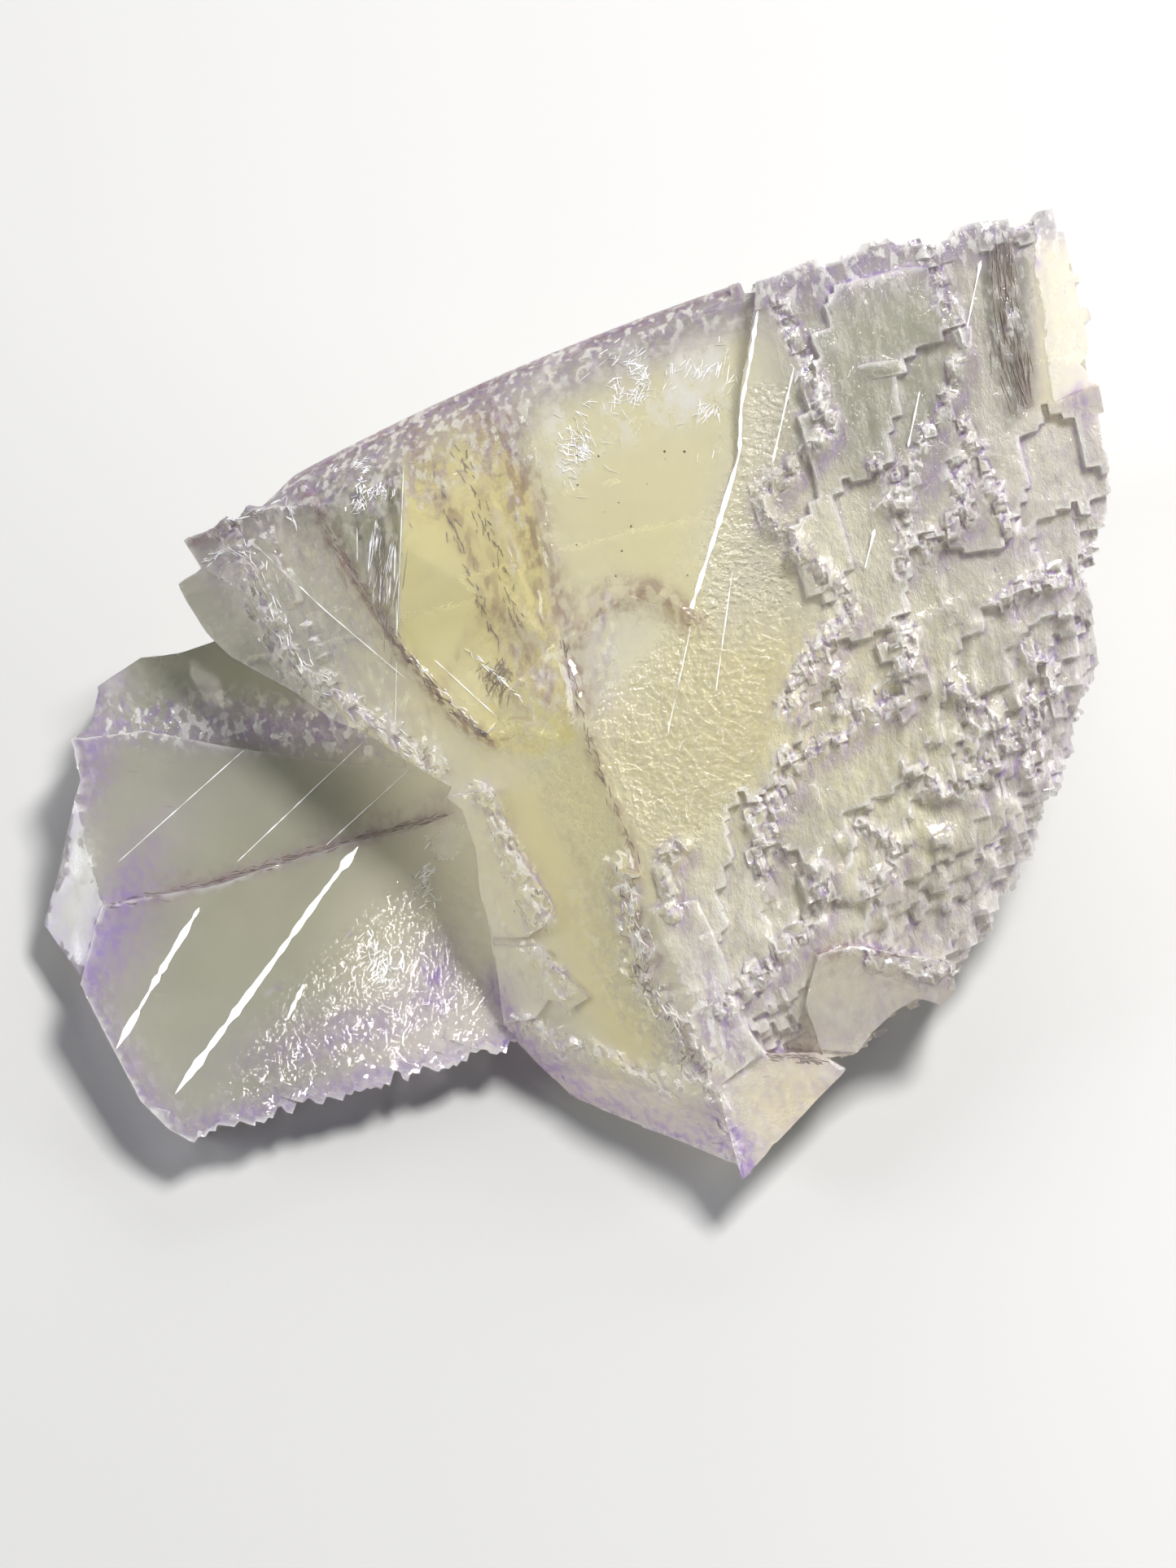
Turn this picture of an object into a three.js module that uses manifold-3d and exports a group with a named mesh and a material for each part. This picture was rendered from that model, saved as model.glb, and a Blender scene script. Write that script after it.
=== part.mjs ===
// A cluster of two intergrown fluorite crystals, lying on a table as one piece of stone.
//
// Units are millimetres and +Z is up. The big crystal is described in its own leaning frame:
// x runs to the right, y runs up the broad front, and h stands out of it. Everything is then
// leant back by LEAN, sunk to the table and centred on its footprint.
//
// Fluorite grows as cubes, and here the cubes grew slightly out of line with each other. The
// growth lines of the front fan out from one point far below the stone, so steps and blocks
// are placed by an angle round that point and by a distance from it.

import * as THREE from "three";
import { mergeVertices } from "three/addons/utils/BufferGeometryUtils.js";
import Module from "manifold-3d";

const wasm = await Module();
wasm.setup();

// ---------------------------------------------------------------- driving dimensions

const LEAN = THREE.MathUtils.degToRad(30); // how far the broad front leans from level
const LIFT = 13; // height of the leaning frame's origin above the table
const BODY_DEPTH = 50; // how far the raw block runs behind its front before it is trimmed

// The point the growth lines fan out from, in the leaning frame.
const FAN = { x: 59.5, y: -130.6 };
const RIM_RADIUS = 168.7; // the curved top edge, measured from the fan point
const RIM_LEFT = 27.4; // degrees to the left of straight up, where that edge starts
const RIM_RIGHT = 10.9;
const RIM_SPANS = 12; // straight lines that make up the curved edge
const LEVEL_TURN = 0.25; // degrees that each layer stops short of the rim's right end

// Planes of the front, each as height = at + x * acrossSlope + y * upSlope.
const RIGHT_FACE = { at: 6.34, across: -0.116, up: 0.054 };
const LEFT_FACE = { at: 5.72, across: 0.597, up: 0.3 };
const CLEAVED_TOP = { at: 6.78, across: 0.248, up: -0.09 };
const PLATE_FACE = { at: -9.1, across: -0.055, up: -0.427 };

// The right face steps down towards its lower right in thin layers.
const TERRACE_COUNT = 6;
const TERRACE_STEP = 0.75; // height of one layer
const TERRACE_SETBACK = 1.35; // how far each layer stops short of the one below it
const TERRACE_JITTER = 1.45; // how much further one growth column may stop short
const COLUMN_WIDTH = 0.6; // degrees of fan taken by one growth column
const COLUMN_TURN = 0.18; // degrees that each layer's first column is turned by
const EDGE_NOTCH = 2.1; // length of one notch down the right edge
const EDGE_NOTCH_DEPTH = 0.2;
const EDGE_LAYER_INSET = 0.3; // in notch depths, for each layer
const EDGE_CLEARANCE = 0.3; // the right edge ends this far above the stepped side

// Small square growths stand on the right face, more of them towards its lower right.
const GROWTH_ANGLES = { from: 11.3, to: 23.6, step: 0.62 }; // degrees of the fan
const GROWTH_RADII = { from: 122, to: 167, step: 2.3 };
const GROWTH_WIDTH = { least: 0.8, spread: 1.1 };
const GROWTH_LENGTH = { least: 1.2, spread: 2.6 };
const GROWTH_HEIGHT = { least: 0.19, spread: 0.95 };
const GROWTH_MARGIN = 1.5; // how far inside the stepped side they start
const GROWTH_TURN = 0.3; // degrees by which one may stand out of line
const GROWTH_ROOT = 8; // how far they reach down into the stone
const RIDGE = { x: 0.1, y: 2.8, lean: 0.35 }; // line of the front ridge, and across per 1 down
const CROWD_OUT = { from: 5, to: 15 }; // they thicken between these distances from the ridge
const CROWD_DOWN = { from: 26, to: -4 }; // and between these heights up the front
const CROWD_ABOVE = 0.3; // share of them that is left above that

// Small upright growths stand in a row along the right part of the rim.
const RIM_GROWTH_COUNT = 12;
const RIM_GROWTH_FROM = 17.3; // degrees of the fan
const RIM_GROWTH_STEP = 0.5;
const RIM_GROWTH_SETBACK = { least: 0.6, spread: 0.6 };
const RIM_GROWTH_WIDTH = { least: 0.9, spread: 0.6 };
const RIM_GROWTH_LENGTH = 2.6;
const RIM_GROWTH_HEIGHT = { least: 0.15, spread: 0.5 };

// The big crystal's top edge is rounded off over the last few millimetres.
const SHOULDER_WIDTH = 3.2;
const SHOULDER_SLOPE = 0.85;
const SHOULDER_FLATS = 5;
const SHOULDER_LEFT = RIM_LEFT + 1; // degrees of the fan, from left to right
const SHOULDER_RIGHT = 17.6;
const SHOULDER_OVERRUN = { inner: 1, outer: 3 }; // how far the cuts run past both borders

// The plate is notched along its lower rim.
const PLATE_RIM_NOTCHES = 14;
const PLATE_RIM_NOTCH = 0.9;
const PLATE_RIM_SLOPE = 0.2; // each notch drops this much along its length

// ---------------------------------------------------------------- outlines

// Left flank of the big crystal, from the foot of its front ridge up to the rim.
const LEFT_OUTLINE = [
  [9.4, -24], [6.7, -22.7], [3.9, -21.8], [0.9, -20.6], [-1.1, -19.4], [-3.1, -17.4],
  [-4.3, -16.1], [-5.2, -14.8], [-5.9, -10.4], [-6.6, -6.9], [-6.9, -3.9], [-7.7, -1.6],
  [-8.7, -0.8], [-8.4, -0.2], [-11.1, 1.3], [-14.1, 3.3], [-16.1, 4], [-18.6, 5.8],
  [-22.6, 8], [-24.1, 9.5], [-25.4, 11.5], [-25.9, 12.6], [-24.4, 13.5], [-25.5, 15.3],
  [-23.4, 15.9], [-22.6, 16.6], [-21.9, 16.3], [-21.1, 17.3], [-20.2, 17.1], [-18.9, 18.4],
];

// Right edge of the big crystal from the rim down.
const RIGHT_EDGE = [
  [28.9, 34.8], [29.6, 33], [30.3, 30.8], [31, 25.2], [31.8, 20.4], [32.3, 17.9],
  [31.4, 14.2], [30.8, 12.9], [31.8, 8.4],
];

// The stepped side as [degrees, radius] in the fan, from the right edge to the foot.
const STEPPED_SIDE = [
  [11.5, 140.2], [12.6, 135], [15.1, 127.3], [17.8, 123], [21.4, 121], [24.9, 118],
];

const PLATE_OUTLINE = [
  [-23, 9.5], [-26.1, 8.4], [-28.6, 8.1], [-30.5, 6.8], [-31.3, 6.2], [-31.5, 3.8],
  [-32.7, 2.8], [-32, 0.4], [-32.6, -2.4], [-33.3, -5.5], [-34.2, -8.8], [-33.1, -10.2],
  [-31.6, -12], [-30.4, -14.2], [-27.4, -19.4], [-25.6, -21.1], [-24.5, -21.7],
];

// Bottom rim of the plate, from its front corner to the big crystal.
const PLATE_RIM_START = [-24.5, -21.7];
const PLATE_RIM_END = [-4.4, -16];
const PLATE_ROOT = [[2, -8], [0, 2], [-8, 8]]; // where the plate is grown into the crystal

// Thicker growths laid over a face: an outline, and a height above that face.
const RAISED = {
  upperStrip: {
    plane: LEFT_FACE,
    height: 0.8,
    outline: [
      [-8.7, -0.8], [-5.9, -0.3], [-5.3, -1.6], [-5, -2.4], [-4.5, -3.6], [-4, -4.6],
      [-3.4, -5.6], [-2.4, -6.8], [-2, -7.6], [-2.6, -8.6], [-3.7, -9.4], [-5.8, -9.4],
      [-6.6, -6.9], [-6.9, -3.9], [-7.7, -1.6],
    ],
  },
  lowerStrip: {
    plane: LEFT_FACE,
    height: 0.5,
    outline: [
      [-5.8, -9.9], [-2.9, -9.9], [-2.4, -11], [-1.2, -11.8], [0.1, -13], [-0.9, -13.7],
      [-2.4, -13.2], [-3.2, -14.4], [-5.2, -14.8],
    ],
  },
  footFill: {
    plane: RIGHT_FACE,
    height: 0.2,
    outline: [
      [1, -8], [6.6, -7], [8.2, -10.6], [9.4, -14.4], [10.9, -16.4], [14, -16.4], [15.9, -17.5],
      [14.7, -18.6], [13.2, -20.1], [11.4, -21.9], [9.4, -24], [6.8, -22.6], [4, -21.6],
    ],
  },
  shoulderFill: {
    plane: RIGHT_FACE,
    height: 0.2,
    outline: [
      [13.9, -10.3], [16.1, -9.8], [18.9, -10.3], [22.1, -10.8], [22.6, -12.6], [21.7, -13.6],
      [20.2, -13.1], [18.7, -14], [17.3, -15.3], [16.4, -16.6], [14.4, -16.7], [13.2, -13.3],
    ],
  },
  plateBand: {
    plane: PLATE_FACE,
    height: 0.45,
    outline: [
      [-29.6, -7.4], [-23.1, -6.3], [-20.6, -5.4], [-15.1, -3.7], [-11, -2.9], [-8.4, -1.8],
      [-5, -9], [-5.4, -15.4], [-11.6, -17], [-18.6, -19], [-24.2, -21], [-27, -19], [-30, -13.8],
    ],
  },
};

// Smooth cleaved windows: everything in front of a flat goes, inside a small outline.
const WINDOWS = {
  yellow: {
    plane: { at: 4.92, across: 0.407, up: 0.161 },
    outline: [[-18.6, 19.6], [-20, 15], [-8, 1], [-6.1, 2.4], [-4.9, 5.7], [-1.6, 8.7]],
  },
  pale: {
    plane: { at: 7.1, across: 0.166, up: -0.135 },
    outline: [
      [-1.1, 8.7], [2.4, 11.4], [6.1, 10.1], [7.9, 16.2], [9.1, 20.2], [9.1, 23.2],
      [10, 28.5], [10.2, 34], [-4, 34], [-3.6, 22],
    ],
  },
  cream: {
    plane: { at: 18.9, across: -0.52, up: 0 },
    outline: [[27, 40], [27, 33.1], [27.1, 22.6], [30.4, 24], [36, 26], [36, 40]],
  },
  foot: {
    plane: { at: 7.64, across: -0.441, up: -0.021 },
    outline: [[8, -18.2], [10.9, -16.2], [14, -16.2], [18, -16.6], [18, -26], [9.6, -26]],
  },
  shoulder: {
    plane: { at: 11, across: -0.273, up: 0.32 },
    outline: [[13.8, -10.2], [16.1, -9.7], [25, -10.8], [20, -18], [14, -16.4], [13.1, -13.3]],
  },
  apron: {
    plane: { at: 16.83, across: 0.795, up: 0.96 },
    outline: [[-8, -12], [-4.3, -15.4], [6.9, -18.6], [8, -19.3], [9.5, -24.6], [9, -28], [-12, -28]],
  },
  lamella: {
    plane: { at: 4.4, across: 0.597, up: 0.3 },
    outline: [
      [-28, 14.4], [-24.2, 13.6], [-21.2, 11.8], [-19.3, 8.8], [-16.4, 5], [-15.6, 2], [-28, 4],
    ],
  },
  plateBack: {
    plane: { at: -10.4, across: -0.055, up: -0.43 },
    outline: [
      [-36, 3.4], [-32, 2.9], [-28, 3.4], [-23, 2.4], [-16, 1.4], [-11.5, 1], [-16, 12], [-36, 12],
    ],
  },
  plateEdge: {
    plane: { at: 15.4, across: 0.7, up: -0.2 },
    outline: [[-40, 3], [-30, 3], [-30, -6], [-31.5, -13], [-40, -20]],
  },
};

// Sizes that only the construction needs.
const WELD = 1e-4; // points closer than this become one
const CORNER_GAP = 0.02; // outline corners closer than this become one
const FLAT = { across: 240, deep: 120 }; // the block that stands for one side of a flat

// ---------------------------------------------------------------- helpers

// A repeatable fraction from 0 to 1 for a numbered growth: the digits far behind the point of
// a large sine.
function scatter(number, salt) {
  const wave = Math.sin(number * 12.9898 + salt * 78.233) * 43758.5453;
  return wave - Math.floor(wave);
}

// A repeatable size from a least value up to that value and its spread.
function chosen({ least, spread }, number, salt) {
  return least + spread * scatter(number, salt);
}

function heightOn(plane, x, y) {
  return plane.at + plane.across * x + plane.up * y;
}

// A place in the leaning frame from an angle and a distance in the fan.
function fanPoint(degrees, radius) {
  const angle = THREE.MathUtils.degToRad(degrees);
  return [FAN.x - radius * Math.sin(angle), FAN.y + radius * Math.cos(angle)];
}

function solidFrom(geometry) {
  const bare = geometry.clone();
  bare.deleteAttribute("normal");
  bare.deleteAttribute("uv");
  const merged = mergeVertices(bare, WELD);
  return new wasm.Manifold(
    new wasm.Mesh({
      numProp: 3,
      vertProperties: merged.attributes.position.array,
      triVerts: new Uint32Array(merged.index.array),
    }),
  );
}

function geometryFrom(solid) {
  const mesh = solid.getMesh();
  const geometry = new THREE.BufferGeometry();
  geometry.setAttribute("position", new THREE.BufferAttribute(mesh.vertProperties, 3));
  geometry.setIndex(new THREE.BufferAttribute(mesh.triVerts, 1));
  return geometry;
}

// A straight-sided solid over an outline, between two heights above a sloping plane.
function slab(outline, plane, bottom, top) {
  const corners = outline.map(([x, y]) => new THREE.Vector2(x, y));
  const apart = corners.filter((corner, i) => corner.distanceTo(corners.at(i - 1)) > CORNER_GAP);
  const shape = new THREE.Shape(apart);
  const geometry = new THREE.ExtrudeGeometry(shape, { depth: top - bottom, bevelEnabled: false });
  const position = geometry.attributes.position;
  for (let i = 0; i < position.count; i++) {
    const lifted = position.getZ(i) + bottom + heightOn(plane, position.getX(i), position.getY(i));
    position.setZ(i, lifted);
  }
  return solidFrom(geometry);
}

function raised({ plane, height, outline }) {
  return slab(outline, plane, -BODY_DEPTH / 2, height);
}

function window({ plane, outline }) {
  return slab(outline, plane, 0, BODY_DEPTH);
}

// Everything on the far side of a flat through a point, along the direction given.
function farSide(point, direction) {
  const geometry = new THREE.BoxGeometry(FLAT.across, FLAT.across, FLAT.deep);
  geometry.translate(0, 0, FLAT.deep / 2);
  const up = new THREE.Vector3(0, 0, 1);
  const turn = new THREE.Quaternion().setFromUnitVectors(up, direction.clone().normalize());
  geometry.applyQuaternion(turn);
  geometry.translate(point.x, point.y, point.z);
  return solidFrom(geometry);
}

// Everything in front of one of the front's planes.
function inFrontOf(plane) {
  const point = new THREE.Vector3(0, 0, plane.at);
  return farSide(point, new THREE.Vector3(-plane.across, -plane.up, 1));
}

// A square growth turned with the fan, from well inside the stone up to a height above the
// right face.
function squareGrowth(x, y, width, length, top) {
  const tall = GROWTH_ROOT + top;
  const geometry = new THREE.BoxGeometry(width, length, tall).translate(0, 0, top - tall / 2);
  geometry.rotateZ(Math.atan2(FAN.x - x, y - FAN.y));
  geometry.translate(x, y, 0);
  const position = geometry.attributes.position;
  for (let i = 0; i < position.count; i++) {
    position.setZ(i, position.getZ(i) + heightOn(RIGHT_FACE, position.getX(i), position.getY(i)));
  }
  return solidFrom(geometry);
}

// ---------------------------------------------------------------- the big crystal

// Radius of the stepped side at an angle of the fan, by straight lines between its points.
function sideRadius(degrees) {
  const next = STEPPED_SIDE.findIndex(([angle]) => angle > degrees);
  if (next === 0) {
    return STEPPED_SIDE[0][1];
  }
  if (next < 0) {
    return STEPPED_SIDE.at(-1)[1];
  }
  const [fromAngle, fromRadius] = STEPPED_SIDE[next - 1];
  const [toAngle, toRadius] = STEPPED_SIDE[next];
  const share = (degrees - fromAngle) / (toAngle - fromAngle);
  return THREE.MathUtils.lerp(fromRadius, toRadius, share);
}

// The stepped side as a staircase of growth columns, each set back by its own chance.
function steppedSide(level) {
  const points = [];
  const first = STEPPED_SIDE[0][0] + level * COLUMN_TURN;
  const last = STEPPED_SIDE.at(-1)[0];
  const columns = Math.round((last - first) / COLUMN_WIDTH);
  for (let i = 0; i < columns; i++) {
    const start = first + ((last - first) * i) / columns;
    const end = first + ((last - first) * (i + 1)) / columns;
    const setback = level * TERRACE_SETBACK + TERRACE_JITTER * scatter(i, level + 1);
    const radius = sideRadius((start + end) / 2) + setback;
    points.push(fanPoint(start, radius), fanPoint(end, radius));
  }
  return points;
}

// The right edge cut into short notches, each in or out by its own chance.
function notchedEdge(level) {
  const points = [];
  RIGHT_EDGE.slice(1).forEach(([x, y], index) => {
    const [fromX, fromY] = RIGHT_EDGE[index];
    const notches = Math.max(1, Math.round((fromY - y) / EDGE_NOTCH));
    for (let i = 0; i < notches; i++) {
      const layered = level * (EDGE_LAYER_INSET + scatter(i + index * 7, level));
      const inset = (layered + scatter(i, index)) * EDGE_NOTCH_DEPTH;
      for (const share of [i / notches, (i + 1) / notches]) {
        const edgeX = THREE.MathUtils.lerp(fromX, x, share);
        points.push([edgeX - inset, THREE.MathUtils.lerp(fromY, y, share)]);
      }
    }
  });
  return points;
}

function bigCrystalOutline(level) {
  const outline = LEFT_OUTLINE.slice(level > 0 ? 2 : 0); // the foot belongs to the lowest layer
  const rimEnd = RIM_RIGHT + level * LEVEL_TURN;
  for (let i = 0; i <= RIM_SPANS; i++) {
    outline.push(fanPoint(THREE.MathUtils.lerp(RIM_LEFT, rimEnd, i / RIM_SPANS), RIM_RADIUS));
  }
  const side = steppedSide(level);
  outline.push(...notchedEdge(level).filter(([, y]) => y > side[0][1] + EDGE_CLEARANCE));
  outline.push(...side);
  return outline;
}

// Height of the layers under a place in the fan, measured from the right face.
function terraceHeight(degrees, radius) {
  const inward = radius - sideRadius(degrees) - TERRACE_JITTER / 2;
  const layers = Math.floor(inward / TERRACE_SETBACK);
  return Math.min(0, (layers - TERRACE_COUNT) * TERRACE_STEP);
}

// How crowded the square growths are at a place on the right face, from 0 to 1.
function growthDensity(x, y) {
  const fromRidge = x - RIDGE.x - (RIDGE.y - y) * RIDGE.lean;
  const outwards = THREE.MathUtils.smoothstep(fromRidge, CROWD_OUT.from, CROWD_OUT.to);
  const downwards = THREE.MathUtils.smoothstep(-y, -CROWD_DOWN.from, -CROWD_DOWN.to);
  return outwards * (CROWD_ABOVE + (1 - CROWD_ABOVE) * downwards);
}

function rightFaceGrowths() {
  const growths = [];
  let number = 0;
  for (let angle = GROWTH_ANGLES.from; angle < GROWTH_ANGLES.to; angle += GROWTH_ANGLES.step) {
    for (let radius = GROWTH_RADII.from; radius < GROWTH_RADII.to; radius += GROWTH_RADII.step) {
      number += 1;
      const slide = scatter(number, 5) - 0.5;
      const [x, y] = fanPoint(angle + slide * GROWTH_TURN, radius + slide);
      const inside = radius > sideRadius(angle) + GROWTH_MARGIN;
      if (inside && scatter(number, 1) < growthDensity(x, y)) {
        const width = chosen(GROWTH_WIDTH, number, 2);
        const length = chosen(GROWTH_LENGTH, number, 3);
        const top = terraceHeight(angle, radius) + chosen(GROWTH_HEIGHT, number, 4);
        growths.push(squareGrowth(x, y, width, length, top));
      }
    }
  }
  return growths;
}

// A row of small upright growths along the right half of the rim.
function rimGrowths() {
  const growths = [];
  for (let i = 0; i < RIM_GROWTH_COUNT; i++) {
    const setback = chosen(RIM_GROWTH_SETBACK, i, 11);
    const [x, y] = fanPoint(RIM_GROWTH_FROM - i * RIM_GROWTH_STEP, RIM_RADIUS - setback);
    const width = chosen(RIM_GROWTH_WIDTH, i, 12);
    growths.push(squareGrowth(x, y, width, RIM_GROWTH_LENGTH, chosen(RIM_GROWTH_HEIGHT, i, 13)));
  }
  return growths;
}

// Flats that round off the cleaved top towards the rim, one after the other along it.
function shoulderCuts() {
  const cuts = [];
  const innerRadius = RIM_RADIUS - SHOULDER_WIDTH;
  for (let i = 0; i < SHOULDER_FLATS; i++) {
    const start = THREE.MathUtils.lerp(SHOULDER_LEFT, SHOULDER_RIGHT, i / SHOULDER_FLATS);
    const end = THREE.MathUtils.lerp(SHOULDER_LEFT, SHOULDER_RIGHT, (i + 1) / SHOULDER_FLATS);
    const middle = THREE.MathUtils.degToRad((start + end) / 2);
    const [x, y] = fanPoint((start + end) / 2, innerRadius);
    const across = CLEAVED_TOP.across + SHOULDER_SLOPE * Math.sin(middle);
    const up = CLEAVED_TOP.up - SHOULDER_SLOPE * Math.cos(middle);
    const at = heightOn(CLEAVED_TOP, x, y) - across * x - up * y;
    const from = innerRadius - SHOULDER_OVERRUN.inner;
    const to = RIM_RADIUS + SHOULDER_OVERRUN.outer;
    const outline = [fanPoint(start, from), fanPoint(end, from), fanPoint(end, to), fanPoint(start, to)];
    cuts.push(slab(outline, { at, across, up }, 0, BODY_DEPTH));
  }
  return cuts;
}

function bigCrystal() {
  const deepest = -TERRACE_COUNT * TERRACE_STEP;
  let solid = slab(bigCrystalOutline(0), RIGHT_FACE, -BODY_DEPTH, deepest);
  for (let level = 1; level <= TERRACE_COUNT; level++) {
    const top = deepest + level * TERRACE_STEP;
    solid = solid.add(slab(bigCrystalOutline(level), RIGHT_FACE, deepest - 1, top));
  }
  [...rightFaceGrowths(), ...rimGrowths()].forEach((growth) => {
    solid = solid.add(growth);
  });
  return solid;
}

// ---------------------------------------------------------------- the plate

function plateOutline() {
  const outline = PLATE_OUTLINE.map((point) => [...point]);
  for (let i = 0; i < PLATE_RIM_NOTCHES; i++) {
    const from = (i + 0.3 * scatter(i, 8)) / PLATE_RIM_NOTCHES;
    const to = (i + 1 - 0.2 * scatter(i, 9)) / PLATE_RIM_NOTCHES;
    const drop = PLATE_RIM_NOTCH * (scatter(i, 7) - 0.6);
    const startX = THREE.MathUtils.lerp(PLATE_RIM_START[0], PLATE_RIM_END[0], from);
    const endX = THREE.MathUtils.lerp(PLATE_RIM_START[0], PLATE_RIM_END[0], to);
    const startY = THREE.MathUtils.lerp(PLATE_RIM_START[1], PLATE_RIM_END[1], from);
    outline.push([startX, startY - drop], [endX, startY - drop - PLATE_RIM_SLOPE]);
  }
  outline.push(...PLATE_ROOT);
  return outline;
}

function plate() {
  return slab(plateOutline(), PLATE_FACE, -BODY_DEPTH, 0);
}

// ---------------------------------------------------------------- the whole cluster

// Flats that end the stone behind, below and at its sides, in table axes before centring.
const TRIMS = {
  table: { point: [0, 0, 0], direction: [0, 0, -1] },
  back: { point: [27, 30.7, 20], direction: [-0.26, 0.965, 0.02] },
  frontUnder: { point: [0, -13, 0], direction: [0.05, -0.3, -1] },
  rightUnder: { point: [20, 0, 0], direction: [0.75, 0, -1] },
  leftUnder: { point: [-27, 0, 0], direction: [-0.35, 0, -1] },
};

function cluster() {
  let grown = bigCrystal();
  for (const name of ["footFill", "shoulderFill"]) {
    grown = grown.add(raised(RAISED[name]));
  }
  grown = grown.subtract(inFrontOf(LEFT_FACE));
  grown = grown.subtract(inFrontOf(CLEAVED_TOP));
  for (const name of ["upperStrip", "lowerStrip"]) {
    grown = grown.add(raised(RAISED[name]));
  }
  shoulderCuts().forEach((cut) => {
    grown = grown.subtract(cut);
  });
  for (const name of ["yellow", "pale", "cream", "foot", "shoulder", "apron", "lamella"]) {
    grown = grown.subtract(window(WINDOWS[name]));
  }
  let lying = plate().add(raised(RAISED.plateBand));
  lying = lying.subtract(window(WINDOWS.plateBack)).subtract(window(WINDOWS.plateEdge));
  grown = grown.add(lying);
  const leant = geometryFrom(grown);
  leant.rotateX(LEAN);
  leant.translate(0, 0, LIFT);
  let solid = solidFrom(leant);
  for (const { point, direction } of Object.values(TRIMS)) {
    solid = solid.subtract(farSide(new THREE.Vector3(...point), new THREE.Vector3(...direction)));
  }
  const geometry = geometryFrom(solid).toNonIndexed();
  geometry.computeBoundingBox();
  const middle = geometry.boundingBox.getCenter(new THREE.Vector3());
  geometry.translate(-middle.x, -middle.y, -geometry.boundingBox.min.z);
  geometry.computeVertexNormals();
  return geometry;
}

const fluorite = new THREE.MeshStandardMaterial({
  color: 0xd6cfb4,
  roughness: 0.18,
  metalness: 0,
  flatShading: true,
});

const crystals = new THREE.Mesh(cluster(), fluorite);
crystals.name = "fluorite_crystals";

const specimen = new THREE.Group();
specimen.name = "fluorite_specimen";
specimen.add(crystals);

export default specimen;
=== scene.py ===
"""Dresses the fluorite specimen: two intergrown stepped crystals lying on a pale table.

The stone is one closed mesh. Its fronts are worked out on the crystals' own growth lattices
and trimmed to the solids' planes. Shapes are in millimetres in the leaning frame of the big
crystal, x to the right, y up its broad front and w out of it, and become metres at the end.
"""

import logging
import math
from collections.abc import Callable, Sequence
from dataclasses import dataclass, field, replace
from enum import Enum

import bpy
import numpy as np
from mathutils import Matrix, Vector
from mathutils.bvhtree import BVHTree


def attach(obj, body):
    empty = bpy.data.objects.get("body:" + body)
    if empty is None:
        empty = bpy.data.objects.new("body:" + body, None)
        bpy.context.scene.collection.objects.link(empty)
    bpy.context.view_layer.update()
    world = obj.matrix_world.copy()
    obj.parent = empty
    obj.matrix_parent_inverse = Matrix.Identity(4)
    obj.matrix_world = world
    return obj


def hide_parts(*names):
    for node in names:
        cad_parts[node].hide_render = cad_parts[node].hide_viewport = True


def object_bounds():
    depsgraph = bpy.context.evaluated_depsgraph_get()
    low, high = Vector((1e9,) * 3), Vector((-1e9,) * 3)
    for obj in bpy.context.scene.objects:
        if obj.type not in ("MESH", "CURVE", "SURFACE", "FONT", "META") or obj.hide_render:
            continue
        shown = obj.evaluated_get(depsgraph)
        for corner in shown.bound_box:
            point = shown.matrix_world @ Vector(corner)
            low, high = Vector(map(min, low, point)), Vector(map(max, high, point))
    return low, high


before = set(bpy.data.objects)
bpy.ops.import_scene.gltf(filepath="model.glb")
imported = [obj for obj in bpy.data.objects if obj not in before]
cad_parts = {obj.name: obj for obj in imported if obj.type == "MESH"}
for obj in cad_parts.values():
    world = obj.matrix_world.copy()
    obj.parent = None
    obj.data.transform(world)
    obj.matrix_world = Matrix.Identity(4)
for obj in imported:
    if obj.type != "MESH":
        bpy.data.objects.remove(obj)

CAD_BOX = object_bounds()
LOG = logging.getLogger("fluorite")

Array = np.ndarray
Point = tuple[float, float]
Point3 = tuple[float, float, float]
Colour = tuple[float, float, float, float]
Outputs = bpy.types.bpy_prop_collection

MM = 0.001
LEAN = math.radians(30)
LEAN_TURN = np.array([
    [1, 0, 0], [0, math.cos(LEAN), -math.sin(LEAN)], [0, math.sin(LEAN), math.cos(LEAN)],
])
LIFT = (0.0, 0.0, 13.0)  # from the foot of the leaning frame up to its origin
CENTRING = (0.9556, -4.6078, 0.0)  # from the table axes of the crystals to the part's own
BODY_DEPTH = 50.0
CUTTER_REACH = 16.0
TRIM_DEPTH = 90.0
MARGIN = 3.0  # how far an outline's prism runs past what it keeps
SHARP_ANGLE = math.radians(34)
CELL_KEY = np.array([1 << 40, 1 << 20, 1])  # makes one number of three cell numbers
NOISE_CELLS = 96  # a noise repeats after so many cells
NOISE_ORIGIN = (48.3, 47.1)  # the frame's origin on a noise's grid

FAN = (59.5, -130.6)  # the growth lines of the big crystal fan out from here
RIM_RADIUS = 168.7
RIM_LEFT = 27.4
RIM_BLOCKS_FROM = 17.3  # degrees: the rim is blocky to the right of this ray
RIDGE_ANGLE = 24.7  # degrees: the right face ends at this ray


class Operation(Enum):
    """What a tool solid does to the stone."""

    CUT = "DIFFERENCE"
    JOIN = "UNION"
    KEEP = "INTERSECT"


@dataclass(frozen=True)
class Plane:
    """A flat of the front: height = at + across * x + up * y."""

    at: float
    across: float
    up: float

    def height(self, x: Array, y: Array) -> Array:
        """Height of the flat at each place."""
        return self.at + self.across * x + self.up * y


LEVEL = Plane(0, 0, 0)
RIGHT_FACE = Plane(6.34, -0.116, 0.054)
LEFT_FACE = Plane(5.72, 0.597, 0.3)
CLEAVED_TOP = Plane(6.78, 0.248, -0.09)
PLATE_FACE = Plane(-9.1, -0.055, -0.427)

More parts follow.
